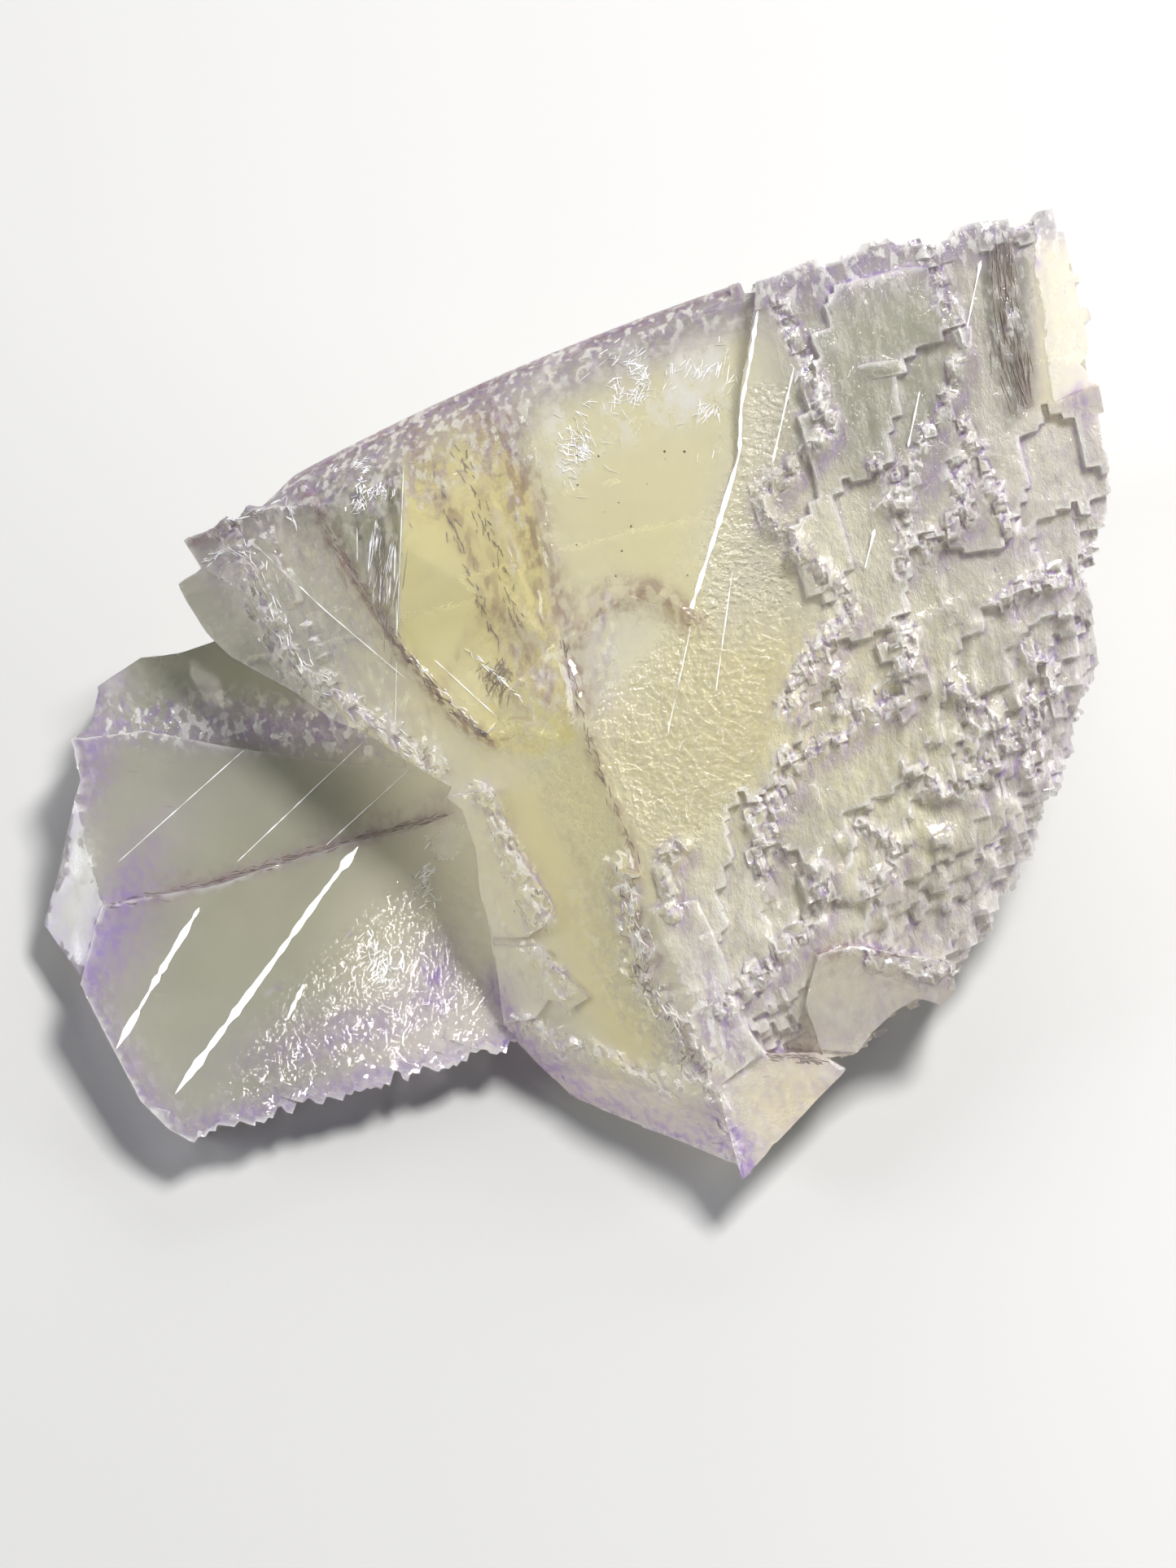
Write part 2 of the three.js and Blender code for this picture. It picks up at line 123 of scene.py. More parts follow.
LEFT_OUTLINE = (
    (9.4, -24), (6.7, -22.7), (3.9, -21.8), (0.9, -20.6), (-1.1, -19.4), (-3.1, -17.4),
    (-4.3, -16.1), (-5.2, -14.8), (-5.9, -10.4), (-6.6, -6.9), (-6.9, -3.9), (-7.7, -1.6),
    (-8.7, -0.8), (-8.4, -0.2), (-11.1, 1.3), (-14.1, 3.3), (-16.1, 4), (-18.6, 5.8),
    (-22.6, 8), (-24.1, 9.5), (-25.4, 11.5), (-25.9, 12.6), (-24.4, 13.5), (-25.5, 15.3),
    (-23.4, 15.9), (-22.6, 16.6), (-21.9, 16.3), (-21.1, 17.3), (-20.2, 17.1), (-18.9, 18.4),
)
RIGHT_EDGE = (
    (28.9, 34.8), (29.6, 33), (30.3, 30.8), (31, 25.2), (31.8, 20.4), (32.3, 17.9),
    (31.4, 14.2), (30.8, 12.9), (31.8, 8.4),
)
STEPPED_SIDE = (
    (11.5, 140.2), (12.6, 135), (15.1, 127.3), (17.8, 123), (21.4, 121), (24.9, 118),
)
PLATE_OUTLINE = (
    (-23, 9.5), (-26.1, 8.4), (-28.6, 8.1), (-30.5, 6.8), (-31.3, 6.2), (-31.5, 3.8),
    (-32.7, 2.8), (-32, 0.4), (-32.6, -2.4), (-33.3, -5.5), (-34.2, -8.8), (-33.1, -10.2),
    (-31.6, -12), (-30.4, -14.2), (-27.4, -19.4), (-25.6, -21.1), (-24.5, -21.7),
)
PLATE_RIM = ((-24.5, -21.7), (-4.4, -16))
PLATE_TURN = math.radians(15.8)  # the lower rim's slope
PLATE_ROOT = ((2, -8), (0, 2), (-8, 8))


@dataclass
class Solid:
    """A closed mesh in millimetres."""

    points: Array
    faces: list[list[int]]

    def moved(self, turn: Array, shift: Array) -> "Solid":
        """The solid with each point multiplied by turn, then shifted."""
        return Solid(self.points @ np.asarray(turn, float).T + np.asarray(shift, float), self.faces)


def band_faces(lower: Array, upper: Array) -> Array:
    """Quads between two rings of the same count, each corner joined to the next one."""
    return np.column_stack([np.roll(lower, -1), lower, upper, np.roll(upper, -1)])


def closed_sheet(x: Array, y: Array, w: Array, base: Array) -> Solid:
    """A grid surface made a solid by walls round its border and one flat behind it.

    Args:
        x: across places of the grid, in rows and columns.
        y: up places of the grid.
        w: height of the surface at each grid point.
        base: height of the flat behind at each grid point.

    Returns:
        The solid, with its faces pointing outwards.
    """
    index = np.arange(x.size).reshape(x.shape)
    quads = np.stack([index[:-1, :-1], index[1:, :-1], index[1:, 1:], index[:-1, 1:]], -1)
    ring = np.concatenate([index[:-1, 0], index[-1, :-1], index[:0:-1, -1], index[0, :0:-1]])
    under = np.arange(ring.size) + x.size
    top = np.column_stack([x.ravel(), y.ravel(), w.ravel()])
    behind = np.column_stack([x.ravel()[ring], y.ravel()[ring], base.ravel()[ring]])
    faces = quads.reshape(-1, 4).tolist() + band_faces(ring, under).tolist() + [under[::-1].tolist()]
    turn = (x[1, 0] - x[0, 0]) * (y[0, 1] - y[0, 0]) - (y[1, 0] - y[0, 0]) * (x[0, 1] - x[0, 0])
    if turn * (w.mean() - base.mean()) < 0:
        faces = [face[::-1] for face in faces]
    return Solid(np.concatenate([top, behind]), faces)


def stacked(outlines: Array, heights: Array) -> Solid:
    """A solid through a stack of outlines of one point count, closed by its first and last.

    Args:
        outlines: the outlines from the lowest up, as levels x points x 2.
        heights: height of each point, as levels x points.

    Returns:
        The solid, with its faces pointing outwards.
    """
    levels, count = heights.shape
    index = np.arange(levels * count).reshape(levels, count)
    points = np.concatenate([outlines, heights[..., None]], -1).reshape(-1, 3)
    walls = [band_faces(index[k], index[k + 1]) for k in range(levels - 1)]
    faces = np.concatenate(walls).tolist() + [index[0].tolist(), index[-1][::-1].tolist()]
    x, y = outlines[0].T
    if np.sum(x * np.roll(y, -1) - np.roll(x, -1) * y) > 0:
        faces = [face[::-1] for face in faces]
    return Solid(points, faces)


def prism(outline: Array, plane: Plane, low: float, high: float) -> Solid:
    """A straight-sided solid over an outline, between two heights above a plane.

    Args:
        outline: x and y of the corners.
        plane: where the heights start.
        low: height of the lower end.
        high: height of the upper end.

    Returns:
        The solid.
    """
    outline = np.asarray(outline, float)
    level = plane.height(outline[:, 0], outline[:, 1])
    return stacked(np.stack([outline, outline]), np.stack([level + low, level + high]))


@dataclass(frozen=True)
class GrowthLattice:
    """The cube directions of one crystal: rays from a far point and the arcs round it.

    Cells are bounded by rays and arcs at slightly uneven distances. Every border is doubled,
    a seam apart, so that a step between two cells stands almost upright.
    """

    centre: Point
    angles: Point
    radii: Point
    pitch: float
    seed: int
    seam: float = 0.04
    sway: float = 0.0
    uneven: float = 0.28  # share of a cell by which a border may be moved

    def borders(self) -> tuple[Array, Array]:
        """Angles in radians and radii of the cell borders: even ones, each moved a little.

        Returns:
            The angles and the radii.
        """
        rng = np.random.default_rng(self.seed)
        middle = sum(self.radii) / 2
        first, last = np.radians(self.angles)
        spans = ((first, last, self.pitch / middle), (*self.radii, self.pitch))
        lines = []
        for start, end, size in spans:
            count = round((end - start) / size)
            line = np.linspace(start, end, count + 1)
            line[1:-1] += rng.uniform(-self.uneven, self.uneven, count - 1) * (end - start) / count
            lines.append(line)
        return lines[0], lines[1]

    def place(self, angle: Array, radius: Array) -> tuple[Array, Array]:
        """Across and up from an angle left of straight up and a distance."""
        return self.centre[0] - radius * np.sin(angle), self.centre[1] + radius * np.cos(angle)

    def grid(self) -> tuple[Array, Array]:
        """Places of the doubled borders, as a grid.

        Returns:
            Across and up of every grid point.
        """
        angle, radius = self.borders()
        half = self.seam / 2
        turn = half / (sum(self.radii) / 2)
        angle = np.column_stack([angle[:-1] + turn, angle[1:] - turn]).ravel()
        radius = np.column_stack([radius[:-1] + half, radius[1:] - half]).ravel()
        x, y = self.place(angle[:, None], radius[None, :])
        inside = np.ones(x.shape)
        inside[[0, -1]] = 0
        inside[:, [0, -1]] = 0
        sway = self.sway * inside
        return x + sway * drift(x, y, 2.1, self.seed), y + sway * drift(x, y, 2.4, self.seed + 50)

    def cells(self) -> tuple[Array, Array, Array, Array]:
        """Angle in degrees, radius, across and up of every cell's middle.

        Returns:
            The four values of each cell.
        """
        angle, radius = (line[:-1] + np.diff(line) / 2 for line in self.borders())
        angle, radius = np.meshgrid(angle, radius, indexing="ij")
        return np.degrees(angle), radius, *self.place(angle, radius)

    def labels(self, across: float, along: float, salt: int) -> Array:
        """A number for each square growth: columns cut into lengths at staggered places.

        Args:
            across: mean width of a column in millimetres.
            along: mean length of a growth in millimetres.
            salt: changes where the growths end.

        Returns:
            One whole number for every cell, the same all over one growth.
        """
        rng = np.random.default_rng(self.seed * 1000 + salt)
        columns, rows = (len(line) - 1 for line in self.borders())
        widths = np.maximum(1, rng.uniform(0.45, 1.55, columns) * across / self.pitch)
        column = np.searchsorted(np.cumsum(widths), np.arange(columns) + 0.5)
        length = np.maximum(1, rng.uniform(0.6, 1.4, columns + 1)[column] * along / self.pitch)
        start = rng.uniform(0, 40, columns + 1)[column]
        row = ((np.arange(rows)[None, :] + start[:, None] * 7) / length[:, None]).astype(int)
        return np.unique(column[:, None] * (row.max() + 1) + row, return_inverse=True)[1].reshape(row.shape)

    def growths(self, across: float, along: float, salt: int) -> Array:
        """A chance from 0 to 1 for each square growth, the same all over one growth."""
        label = self.labels(across, along, salt)
        return np.random.default_rng(self.seed * 1000 + salt + 500).random(label.max() + 1)[label]

    def tilts(self, across: float, along: float, salt: int, slope: Array) -> Array:
        """Heights at the grid's points that tilt the top of each growth its own way.

        Args:
            across: mean width of a growth.
            along: mean length of a growth.
            salt: changes the growths and their tilts.
            slope: the steepest tilt, for each cell.

        Returns:
            One height for every point of the grid.
        """
        _, _, x, y = self.cells()
        label = self.labels(across, along, salt)
        lean = np.random.default_rng(self.seed + salt).uniform(-1, 1, (2, label.max() + 1))
        whole = (lean[0][label] * slope, lean[1][label] * slope, group_mean(label, x), group_mean(label, y))
        lean_x, lean_y, middle_x, middle_y = (doubled(part) for part in whole)
        grid_x, grid_y = self.grid()
        return lean_x * (grid_x - middle_x) + lean_y * (grid_y - middle_y)

    def block(self, plane: Plane, relief: Array, reach: float, extra: Array | float = 0.0) -> Solid:
        """A solid between the plane with its relief and the same plane moved by reach.

        Args:
            plane: the plane.
            relief: one height for each cell.
            reach: how far off the second plane lies.
            extra: heights added at the grid points.

        Returns:
            The solid.
        """
        x, y = self.grid()
        level = plane.height(x, y)
        return closed_sheet(x, y, level + doubled(relief) + extra, level + reach)

    def over(self, outline: Array, pitch: float) -> "GrowthLattice":
        """The same directions with other cells, just large enough to cover an outline.

        Args:
            outline: places that the cells have to cover.
            pitch: size of the cells.

        Returns:
            The new lattice.
        """
        angle, radius = seen_from(self.centre, *np.asarray(outline, float).T)
        angle = np.degrees(angle)
        beside, beyond = math.degrees(1.0 / radius.mean()), 2.5
        angles = (angle.min() - beside, angle.max() + beside)
        radii = (radius.min() - beyond, radius.max() + beyond)
        return GrowthLattice(self.centre, angles, radii, pitch, self.seed, self.seam)


def flat_lattice(reach: float, pitch: float, seed: int) -> GrowthLattice:
    """A nearly square lattice round the origin, whose rays come from very far away.

    Args:
        reach: how far it goes each way.
        pitch: width of a cell.
        seed: its seed.

    Returns:
        The lattice.
    """
    far = 1200.0
    turn = math.degrees(reach / far)
    return GrowthLattice((0, -far), (-turn, turn), (far - reach, far + reach), pitch, seed)


def seen_from(centre: Point, x: Array, y: Array) -> tuple[Array, Array]:
    """Angle in radians left of straight up, and distance, of each place from a centre."""
    return np.arctan2(centre[0] - x, y - centre[1]), np.hypot(x - centre[0], y - centre[1])


def doubled(cells: Array) -> Array:
    """Each cell's value twice each way, one for every side of its doubled borders."""
    return np.repeat(np.repeat(cells, 2, 0), 2, 1)


def smooth(value: Array, start: float, end: float) -> Array:
    """From 0 at start to 1 at end with level ends: 3t squared minus 2t cubed."""
    t = np.clip((value - start) / (end - start), 0, 1)
    return t * t * (3 - 2 * t)


def blended(table: Array, i: Array, j: Array, s: Array, t: Array) -> Array:
    """The table between its points i, j and i + 1, j + 1, at shares s and t of the way.

    Args:
        table: the values at the grid points.
        i: row of each place.
        j: column of each place.
        s: share of the way to the next row.
        t: share of the way to the next column.

    Returns:
        One value for each place.
    """
    lower = table[i, j] * (1 - s) + table[i + 1, j] * s
    upper = table[i, j + 1] * (1 - s) + table[i + 1, j + 1] * s
    return lower * (1 - t) + upper * t


def drift(x: Array, y: Array, size: float, salt: int) -> Array:
    """Smooth noise from -1 to 1: random heights on a square grid, blended between its points.

    Args:
        x: across places.
        y: up places.
        size: side of the grid's squares.
        salt: picks the random heights.

    Returns:
        One value for each place.
    """
    table = np.random.default_rng(salt).uniform(-1, 1, (NOISE_CELLS + 1, NOISE_CELLS + 1))
    u, v = x / size + NOISE_ORIGIN[0], y / size + NOISE_ORIGIN[1]
    i, j = np.floor(u).astype(int), np.floor(v).astype(int)
    s, t = smooth(u - i, 0, 1), smooth(v - j, 0, 1)
    return blended(table, i % NOISE_CELLS, j % NOISE_CELLS, s, t)


def group_mean(label: Array, values: Array) -> Array:
    """The mean of values over each label, given back to every cell."""
    sums = np.bincount(label.ravel(), values.ravel()) / np.bincount(label.ravel())
    return sums[label]


def path_distance(x: Array, y: Array, path: Array) -> Array:
    """Distance from each place to the nearest point of a path.

    Args:
        x: across places.
        y: up places.
        path: the corners of the path, which runs straight between them.

    Returns:
        One distance for each place.
    """
    path = np.asarray(path, float)
    start, run = path[:-1], np.diff(path, axis=0)
    gap = np.stack([x, y], -1)[:, None, :] - start
    share = np.clip((gap * run).sum(-1) / np.maximum((run * run).sum(-1), 1e-9), 0, 1)
    return np.linalg.norm(gap - share[..., None] * run, axis=-1).min(1)


def path_run(path: Array) -> Array:
    """Distance along a path at each of its corners."""
    return np.concatenate([[0], np.cumsum(np.linalg.norm(np.diff(path, axis=0), axis=1))])


def on_path(path: Array, at: Array) -> Array:
    """Places at the given distances along a path."""
    run = path_run(path)
    return np.column_stack([np.interp(at, run, path[:, k]) for k in (0, 1)])


def mesh_of(name: str, solid: Solid) -> bpy.types.Object:
    """A Blender object at the origin with a solid as its mesh.

    Args:
        name: name of the object and its mesh.
        solid: the solid.

    Returns:
        The object, in the scene.
    """
    mesh = bpy.data.meshes.new(name)
    mesh.from_pydata(solid.points.tolist(), [], solid.faces)
    thing = bpy.data.objects.new(name, mesh)
    bpy.context.scene.collection.objects.link(thing)
    return thing


def discard(thing: bpy.types.Object) -> None:
    """Removes an object and its mesh.

    Args:
        thing: the object.
    """
    mesh = thing.data
    bpy.data.objects.remove(thing)
    bpy.data.meshes.remove(mesh)


def worked(base: Solid, tool: Solid, operation: Operation) -> Solid:
    """The first solid cut by, joined to or kept inside the second.

    Args:
        base: the solid that is worked on.
        tool: the solid that works on it.
        operation: cut, join or keep.

    Returns:
        The new solid.

    Raises:
        ValueError: if nothing came out.
    """
    things = [mesh_of("base", base), mesh_of("tool", tool)]
    modifier = things[0].modifiers.new("work", "BOOLEAN")
    modifier.operation = operation.value
    modifier.solver = "MANIFOLD"
    modifier.object = things[1]
    done = things[0].evaluated_get(bpy.context.evaluated_depsgraph_get())
    mesh = bpy.data.meshes.new_from_object(done)
    result = solid_of(mesh)
    bpy.data.meshes.remove(mesh)
    for thing in things:
        discard(thing)
    if len(result.points) == 0 or len(result.points) == len(base.points):
        raise ValueError(f"{operation.name} changed nothing: {len(result.points)} points")
    return result


def whole_numbers(rows: bpy.types.bpy_prop_collection, name: str) -> Array:
    """One whole number of every row of a mesh's table.

    Args:
        rows: the mesh's table.
        name: what is read from each row.

    Returns:
        One number for each row.
    """
    values = np.empty(len(rows), np.int32)
    rows.foreach_get(name, values)
    return values


def vectors(rows: bpy.types.bpy_prop_collection, name: str, kind: type = np.float32) -> Array:
    """Three numbers of every row of a mesh's table.

    Args:
        rows: the mesh's table.
        name: what is read from each row.
        kind: type of the numbers.

    Returns:
        Three numbers for each row.
    """
    values = np.empty(len(rows) * 3, kind)
    rows.foreach_get(name, values)
    return values.reshape(-1, 3)


def summed(index: Array, rows: Array, count: int) -> Array:
    """The sums of the rows of three numbers that share an index."""
    return np.stack([np.bincount(index, rows[:, k], count) for k in range(3)], -1)


def triangles(solid: Solid) -> Array:
    """The faces of a solid cut into triangles.

    Args:
        solid: the solid.

    Returns:
        Three point numbers for each triangle.
    """
    thing = mesh_of("whole", solid)
    thing.data.calc_loop_triangles()
    corners = vectors(thing.data.loop_triangles, "vertices", np.int32)
    discard(thing)
    return corners.astype(np.int64)


def solid_of(mesh: bpy.types.Mesh) -> Solid:
    """The points and faces of a mesh.

    Args:
        mesh: the mesh.

    Returns:
        The solid.
    """
    corners = whole_numbers(mesh.loops, "vertex_index")
    starts = whole_numbers(mesh.polygons, "loop_start")
    faces = [part.tolist() for part in np.split(corners, starts[1:])]
    return Solid(vectors(mesh.vertices, "co").astype(float), faces)


def welded(points: Array, faces: Array, reach: float) -> tuple[Array, Array]:
    """Merges points that share a small cube, twice, with the cubes moved by half a side.

    A triangle that loses a corner goes, and so do two that come to lie back to back, so the
    mesh stays closed.

    Args:
        points: the mesh's points.
        faces: its triangles.
        reach: side of the cubes.

    Returns:
        The new points and triangles.
    """
    for shift in (0.0, 0.5):
        cell = np.floor(points / reach + shift).astype(np.int64)
        _, index, count = np.unique(cell @ CELL_KEY, return_inverse=True, return_counts=True)
        points = summed(index, points, len(count)) / count[:, None]
        faces = index[faces]
        faces = faces[(faces != np.roll(faces, 1, 1)).all(1)]
        order = (faces.argmin(1)[:, None] + np.arange(3)) % 3
        faces = np.take_along_axis(faces, order, 1)
        side = np.where(faces[:, 1] < faces[:, 2], 1, -1)
        corners, index = np.unique(np.sort(faces, 1), axis=0, return_inverse=True)
        net = np.bincount(index.ravel(), side)
        faces = np.concatenate([corners[net > 0], corners[net < 0][:, ::-1]])
    used, faces = np.unique(faces, return_inverse=True)
    return points[used], faces.reshape(-1, 3)


def refined(
    points: Array, faces: Array, longest: Callable[[Array], Array], rounds: int = 8
) -> tuple[Array, Array]:
    """Halves every edge that is too long, round after round, so that flats have points too.

    A triangle with one halved edge becomes two, with two halved edges three, and with three
    halved edges four. Neighbours share the middles, so the mesh stays closed.

    Args:
        points: the mesh's points.
        faces: its triangles.
        longest: gives the longest edge that stays whole at each place.
        rounds: how many times the edges are looked at.

    Returns:
        The new points and triangles.
    """
    for _ in range(rounds):
        ends = np.sort(np.stack([faces, np.roll(faces, -1, 1)], -1), -1)
        key, index = np.unique(ends[..., 0] * len(points) + ends[..., 1], return_inverse=True)
        start, end = key // len(points), key % len(points)
        middles = (points[start] + points[end]) / 2
        long = np.linalg.norm(points[start] - points[end], axis=1) > longest(middles)
        number = np.full(len(key), -1)
        number[long] = len(points) + np.arange(long.sum())
        points = np.concatenate([points, middles[long]])
        middle = number[index.reshape(-1, 3)]
        halved = (middle >= 0).sum(1)
        first = np.where(halved == 1, (middle >= 0).argmax(1), 0)
        first = np.where(halved == 2, ((middle < 0).argmax(1) + 1) % 3, first)
        order = (first[:, None] + np.arange(3)) % 3
        faces = np.take_along_axis(faces, order, 1)
        middle = np.take_along_axis(middle, order, 1)
        (a, b, c), (ab, bc, ca) = faces.T, middle.T
        parts = [faces[halved == 0]]
        cases = {
            1: ((a, ab, c), (ab, b, c)),
            2: ((ab, b, bc), (a, ab, bc), (a, bc, c)),
            3: ((a, ab, ca), (ab, b, bc), (bc, c, ca), (ab, bc, ca)),
        }
        for count, pieces in cases.items():
            parts += [np.column_stack(piece)[halved == count] for piece in pieces]
        faces = np.concatenate(parts)
    return points, faces


def eased(points: Array, faces: Array, share: Array) -> Array:
    """Moves each point a share of the way to the mean of its neighbours.

    Args:
        points: the mesh's points.
        faces: its triangles, which close the mesh.
        share: how far each point goes, from 0 to 1.

    Returns:
        The moved points.
    """
    start, end = faces.ravel(), np.roll(faces, -1, 1).ravel()
    count = np.maximum(1, np.bincount(start, minlength=len(points)))
    mean = summed(start, points[end], len(points)) / count[:, None]
    return points + share[:, None] * (mean - points)


@dataclass(frozen=True)
class Window:
    """A cleaved flat inside an outline, or a growth that stands on a plane inside it."""

    plane: Plane
    outline: tuple[Point, ...]
    rough: float = 0.0  # height of the small steps left on it
    height: float = 0.0
    pitch: float = 0.6


WINDOWS = {
    "yellow": Window(
        Plane(4.92, 0.407, 0.161),
        ((-18.6, 19.6), (-20, 15), (-8, 1), (-6.1, 2.4), (-4.9, 5.7), (-1.6, 8.7)),
    ),
    "pale": Window(
        Plane(7.1, 0.166, -0.135),
        ((-1.1, 8.7), (2.4, 11.4), (6.1, 10.1), (7.9, 16.2), (9.1, 20.2), (9.1, 23.2),
         (10, 28.5), (10.2, 34), (-4, 34), (-3.6, 22)),
    ),
    "cream": Window(
        Plane(18.9, -0.52, 0),
        ((27, 40), (27, 33.1), (27.1, 22.6), (30.4, 24), (36, 26), (36, 40)),
        0.02,
    ),
    "foot": Window(
        Plane(7.64, -0.441, -0.021),
        ((8, -18.2), (10.9, -16.2), (14, -16.2), (18, -16.6), (18, -26), (9.6, -26)),
        0.05,
    ),
    "shoulder": Window(
        Plane(11, -0.273, 0.32),
        ((13.8, -10.2), (16.1, -9.7), (25, -10.8), (20, -18), (14, -16.4), (13.1, -13.3)),
        0.04,
    ),
    "apron": Window(
        Plane(16.83, 0.795, 0.96),
        ((-8, -12), (-4.3, -15.4), (6.9, -18.6), (8, -19.3), (9.5, -24.6), (9, -28), (-12, -28)),
        0.12,
    ),
    "lamella": Window(
        Plane(4.4, 0.597, 0.3),
        ((-28, 14.4), (-24.2, 13.6), (-21.2, 11.8), (-19.3, 8.8), (-16.4, 5), (-15.6, 2), (-28, 4)),
        0.1,
    ),
}
PLATE_WINDOWS = {
    "plateBack": Window(
        Plane(-10.4, -0.055, -0.43),
        ((-36, 3.4), (-32, 2.9), (-28, 3.4), (-23, 2.4), (-16, 1.4), (-11.5, 1), (-16, 12), (-36, 12)),
        0.06,
    ),
    "plateEdge": Window(
        Plane(15.4, 0.7, -0.2),
        ((-40, 3), (-30, 3), (-30, -6), (-31.5, -13), (-40, -20)),
        0.1,
    ),
}
STRIPS = {
    "upper": Window(
        LEFT_FACE,
        ((-8.7, -0.8), (-5.9, -0.3), (-5.3, -1.6), (-5, -2.4), (-4.5, -3.6), (-4, -4.6),
         (-3.4, -5.6), (-2.4, -6.8), (-2, -7.6), (-2.6, -8.6), (-3.7, -9.4), (-5.8, -9.4),
         (-6.6, -6.9), (-6.9, -3.9), (-7.7, -1.6)),
        0.15, 0.8, 0.5,
    ),
    "lower": Window(
        LEFT_FACE,
        ((-5.8, -9.9), (-2.9, -9.9), (-2.4, -11), (-1.2, -11.8), (0.1, -13), (-0.9, -13.7),
         (-2.4, -13.2), (-3.2, -14.4), (-5.2, -14.8)),
        0.12, 0.5, 0.5,
    ),
}
FILLS = {
    "foot": Window(
        RIGHT_FACE,
        ((1, -8), (6.6, -7), (8.2, -10.6), (9.4, -14.4), (10.9, -16.4), (14, -16.4), (15.9, -17.5),
         (14.7, -18.6), (13.2, -20.1), (11.4, -21.9), (9.4, -24), (6.8, -22.6), (4, -21.6)),
        0.2, 0.2, 0.5,
    ),
    "shoulder": Window(
        RIGHT_FACE,
        ((13.9, -10.3), (16.1, -9.8), (18.9, -10.3), (22.1, -10.8), (22.6, -12.6), (21.7, -13.6),
         (20.2, -13.1), (18.7, -14), (17.3, -15.3), (16.4, -16.6), (14.4, -16.7), (13.2, -13.3)),
        0.1, 0.2, 0.6,
    ),
}
PLATE_BAND = Window(
    PLATE_FACE,
    ((-35, -8.4), (-29.6, -7.4), (-23.1, -6.3), (-20.6, -5.4), (-15.1, -3.7), (-11, -2.9),
     (-8.4, -1.8), (-3, -0.8), (-1, -16), (-11.6, -20), (-18.6, -22), (-24.2, -24), (-30, -21), (-35, -14)),
    0.3, 0.45, 0.45,
)


def window_solid(lattice: GrowthLattice, window: Window, reach: float, relief: Array) -> Solid:
    """A window's or strip's solid: a lattice block kept inside the window's outline.

    Args:
        lattice: the cells of its surface.
        window: its plane, outline and height.
        reach: how far the solid runs from that surface, upwards for a cut.
        relief: height of each cell.

    Returns:
        The solid.
    """
    body = lattice.block(window.plane, relief + window.height, reach)
    low, high = (-MARGIN, reach + MARGIN) if reach > 0 else (reach - MARGIN, 2 * MARGIN)
    return worked(body, prism(window.outline, window.plane, low, high), Operation.KEEP)


def with_windows(
    stone: Solid, windows: dict[str, Window], cells: GrowthLattice, reach: float, operation: Operation
) -> Solid:
    """The stone with every window cut into it, or every strip joined to it.

    Three in ten of the small growths on a window stand up from it, in four heights.

    Args:
        stone: the crystal.
        windows: the windows or strips, by name.
        cells: the crystal's own lattice.
        reach: how far the tool solids run from their surfaces.
        operation: cut or join.

    Returns:
        The new solid.
    """
    for name, window in windows.items():
        lattice = cells.over(window.outline, window.pitch)
        fine = lattice.growths(0.9, 1.4, 5)
        relief = window.rough * np.floor(4 * np.maximum(0, fine - 0.7) / 0.3) / 4
        stone = worked(stone, window_solid(lattice, window, reach, relief), operation)
        LOG.info("%s: %s, %d points", name, operation.name, len(stone.points))
    return stone


